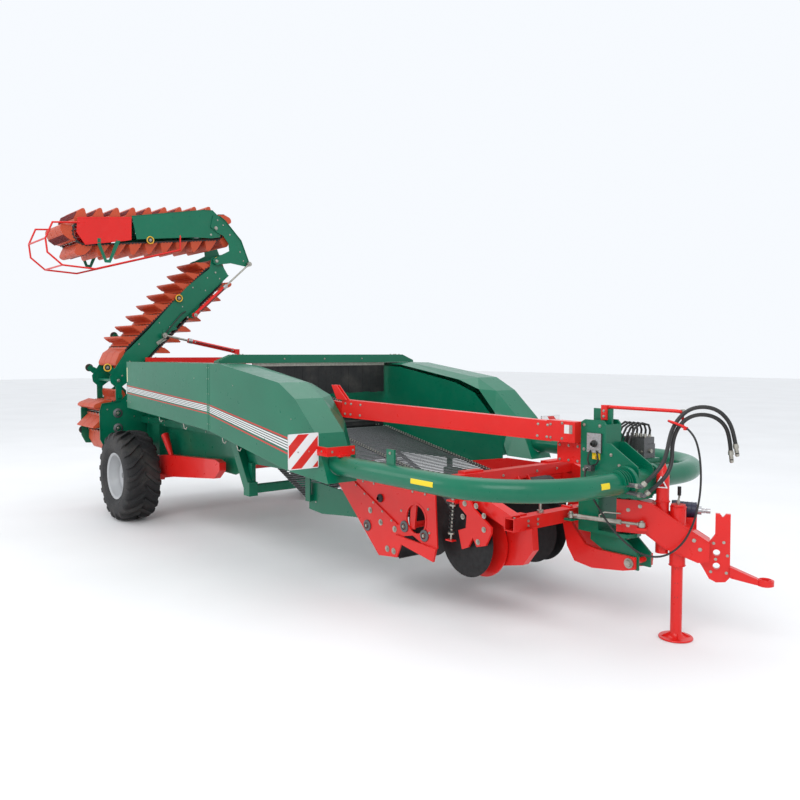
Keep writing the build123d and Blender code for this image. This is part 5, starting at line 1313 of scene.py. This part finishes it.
# ------------------------------------------------------------------ rubber curtain in strips
mb = MB()
nst = 17
for k in range(nst):
    y = -.8495 + k * (1.699 / nst)
    y1 = y + 1.699 / nst - .0022
    w = .0011 * math.sin(k * 2.3)
    mb.box(2.1962 + w, 2.2032 + w, y, y1, 1.5605 + .004 * (k % 3), 1.9028, 0)
mb.box(2.1942, 2.1962, -.8495, .8495, 1.868, 1.9025, 1)
mb.box(2.2032, 2.2058, -.8495, .8495, 1.868, 1.9025, 1)
mb.obj("curtain_strips", [M["rubber"], M["zinc"]], "frame", "haulm_curtain", smooth=30)

# ------------------------------------------------------------------ elevator cylinders
def cyl_trim(nm, body, p, q, lb, rb, rr):
    """Gland, end cap, ports, weld rings and elbow pipe on a barrel that runs from p towards q."""
    p, q = V(p), V(q)
    u = (q - p).normalized()
    e = V((1, 0, 0))
    n = u.cross(e).normalized()
    mb = MB()
    mb.turn(p, u, [(.034, rb + .0004), (.036, rb + .0025), (.052, rb + .0025), (.054, rb + .0004)], 32, 0)
    mb.turn(p, u, [(lb - .058, rb + .0004), (lb - .056, rb + .0035), (lb - .004, rb + .0035), (lb - .001, rb + .001), (lb - .001, rr + .003)], 32, 1)
    for k in range(4):
        t = math.pi / 2 * k + .4
        mb.cyl(p + u * (lb - .030) + (e * math.cos(t) + n * math.sin(t)) * (rb + .0030),
               p + u * (lb - .030) + (e * math.cos(t) + n * math.sin(t)) * (rb + .0046), .006, 12, mi=2)
    for h in (.075, lb - .085):
        b = p + u * h + e * (rb - .002)
        mb.cyl(b, b + e * .020, .012, 20, mi=1)
        mb.cyl(b + e * .020, b + e * .036, .0135, 6, mi=2)
    b0 = p + u * .075 + e * (rb + .036)
    b1 = p + u * (lb - .085) + e * (rb + .030)
    mb.tube([b0, b0 + e * .010 + u * .012, b0 + e * .011 + u * .060, b1 - u * .060 + e * .006, b1 - u * .010 + e * .006, b1], .0065, 9, 3)
    mb.cyl(p - e * .0225, p - e * .030, .024, 22, mi=2)
    mb.cyl(p + e * .0225, p + e * .030, .024, 22, mi=2)
    mb.bolt(p + e * .030, e, .011, 2)
    return mb.obj(nm, [M["red"], M["steel"], M["zinc"], M["hose"]], body, smooth=36)


cyl_trim("fold_cylinder_trim", "fold_barrel", (-.490, -.242, 2.512), (-.490, .568, 3.237), .620, .026, .012)
cyl_trim("lift_cylinder_trim", "lift_barrel", (-.490, .346, 2.031), (-.490, -.667, 2.237), .706, .030, .014)

# ------------------------------------------------------------------ axle, frame rails, outriggers
mb = MB()
for s in (-1, 1):
    n_ = V((0, s, 0))
    c = V((0, s * 1.1105, .540))
    for k in range(8):
        t = math.pi / 4 * k + .2
        mb.bolt((.052 * math.cos(t), s * 1.1102, .540 + .052 * math.sin(t)), n_, .0075, 0) if False else None
    for x in (-.30, .20, .75, 1.35, 1.95, 2.55, 3.15, 3.70):
        for z in (1.137, 1.183):
            mb.bolt((x, s * .9705, z), n_, .008, 0)
    for x in (3.985, 4.037):
        for z in (1.040, 1.190):
            mb.bolt((x, s * 1.2905, z), n_, .010, 0)
    for z in (1.05, 1.11, 1.17):
        mb.bolt((4.0622, s * 1.20, z), (1, 0, 0), .010, 0)
        mb.bolt((4.0622, s * 1.02, z), (1, 0, 0), .010, 0)
    # bolts where the green beam over the channel is held
    for dx in (-.032, .032):
        for y in (.975, 1.050):
            mb.bolt((2.200 + dx, s * y, 1.9902), (0, 0, 1), .010, 0)
# amber reflector on the right end of the axle box, and studs along the red rear beam
mb.turn((.0802, -.800, .545), (1, 0, 0), [(0, .036), (.005, .036), (.008, .033), (.0085, .028)], 28, 1)
mb.turn((.0802, -.800, .545), (1, 0, 0), [(.0055, .0335), (.0095, .028), (.0115, .016), (.012, .004)], 28, 2)
for y in (-.86, -.80, .80, .86):
    mb.bolt((-.465, y, 1.9502), (0, 0, 1), .010, 0)
for y in (-.5, 0, .5):
    mb.bolt((2.2502, y, 1.945), (1, 0, 0), .009, 0)
# bearing caps on the ends of the web rollers
for x, z, y in ((4.320, .705, .8315), (3.380, .640, .8315), (2.330, 1.085, .8885), (2.085, 1.180, .8885), (1.180, 1.180, .8885), (.330, 1.560, .8885)):
    for s in (-1, 1):
        c = V((x, s * y, z))
        mb.turn(c, (0, s, 0), [(0, .030), (.004, .034), (.010, .034), (.012, .030), (.012, .012)], 24, 3)
        mb.bolt(c + V((0, s * .012, 0)), (0, s, 0), .012, 0)
mb.obj("frame_bolts", [M["zinc"], M["rubber"], M["amber"], M["cast"]], "frame", smooth=34)
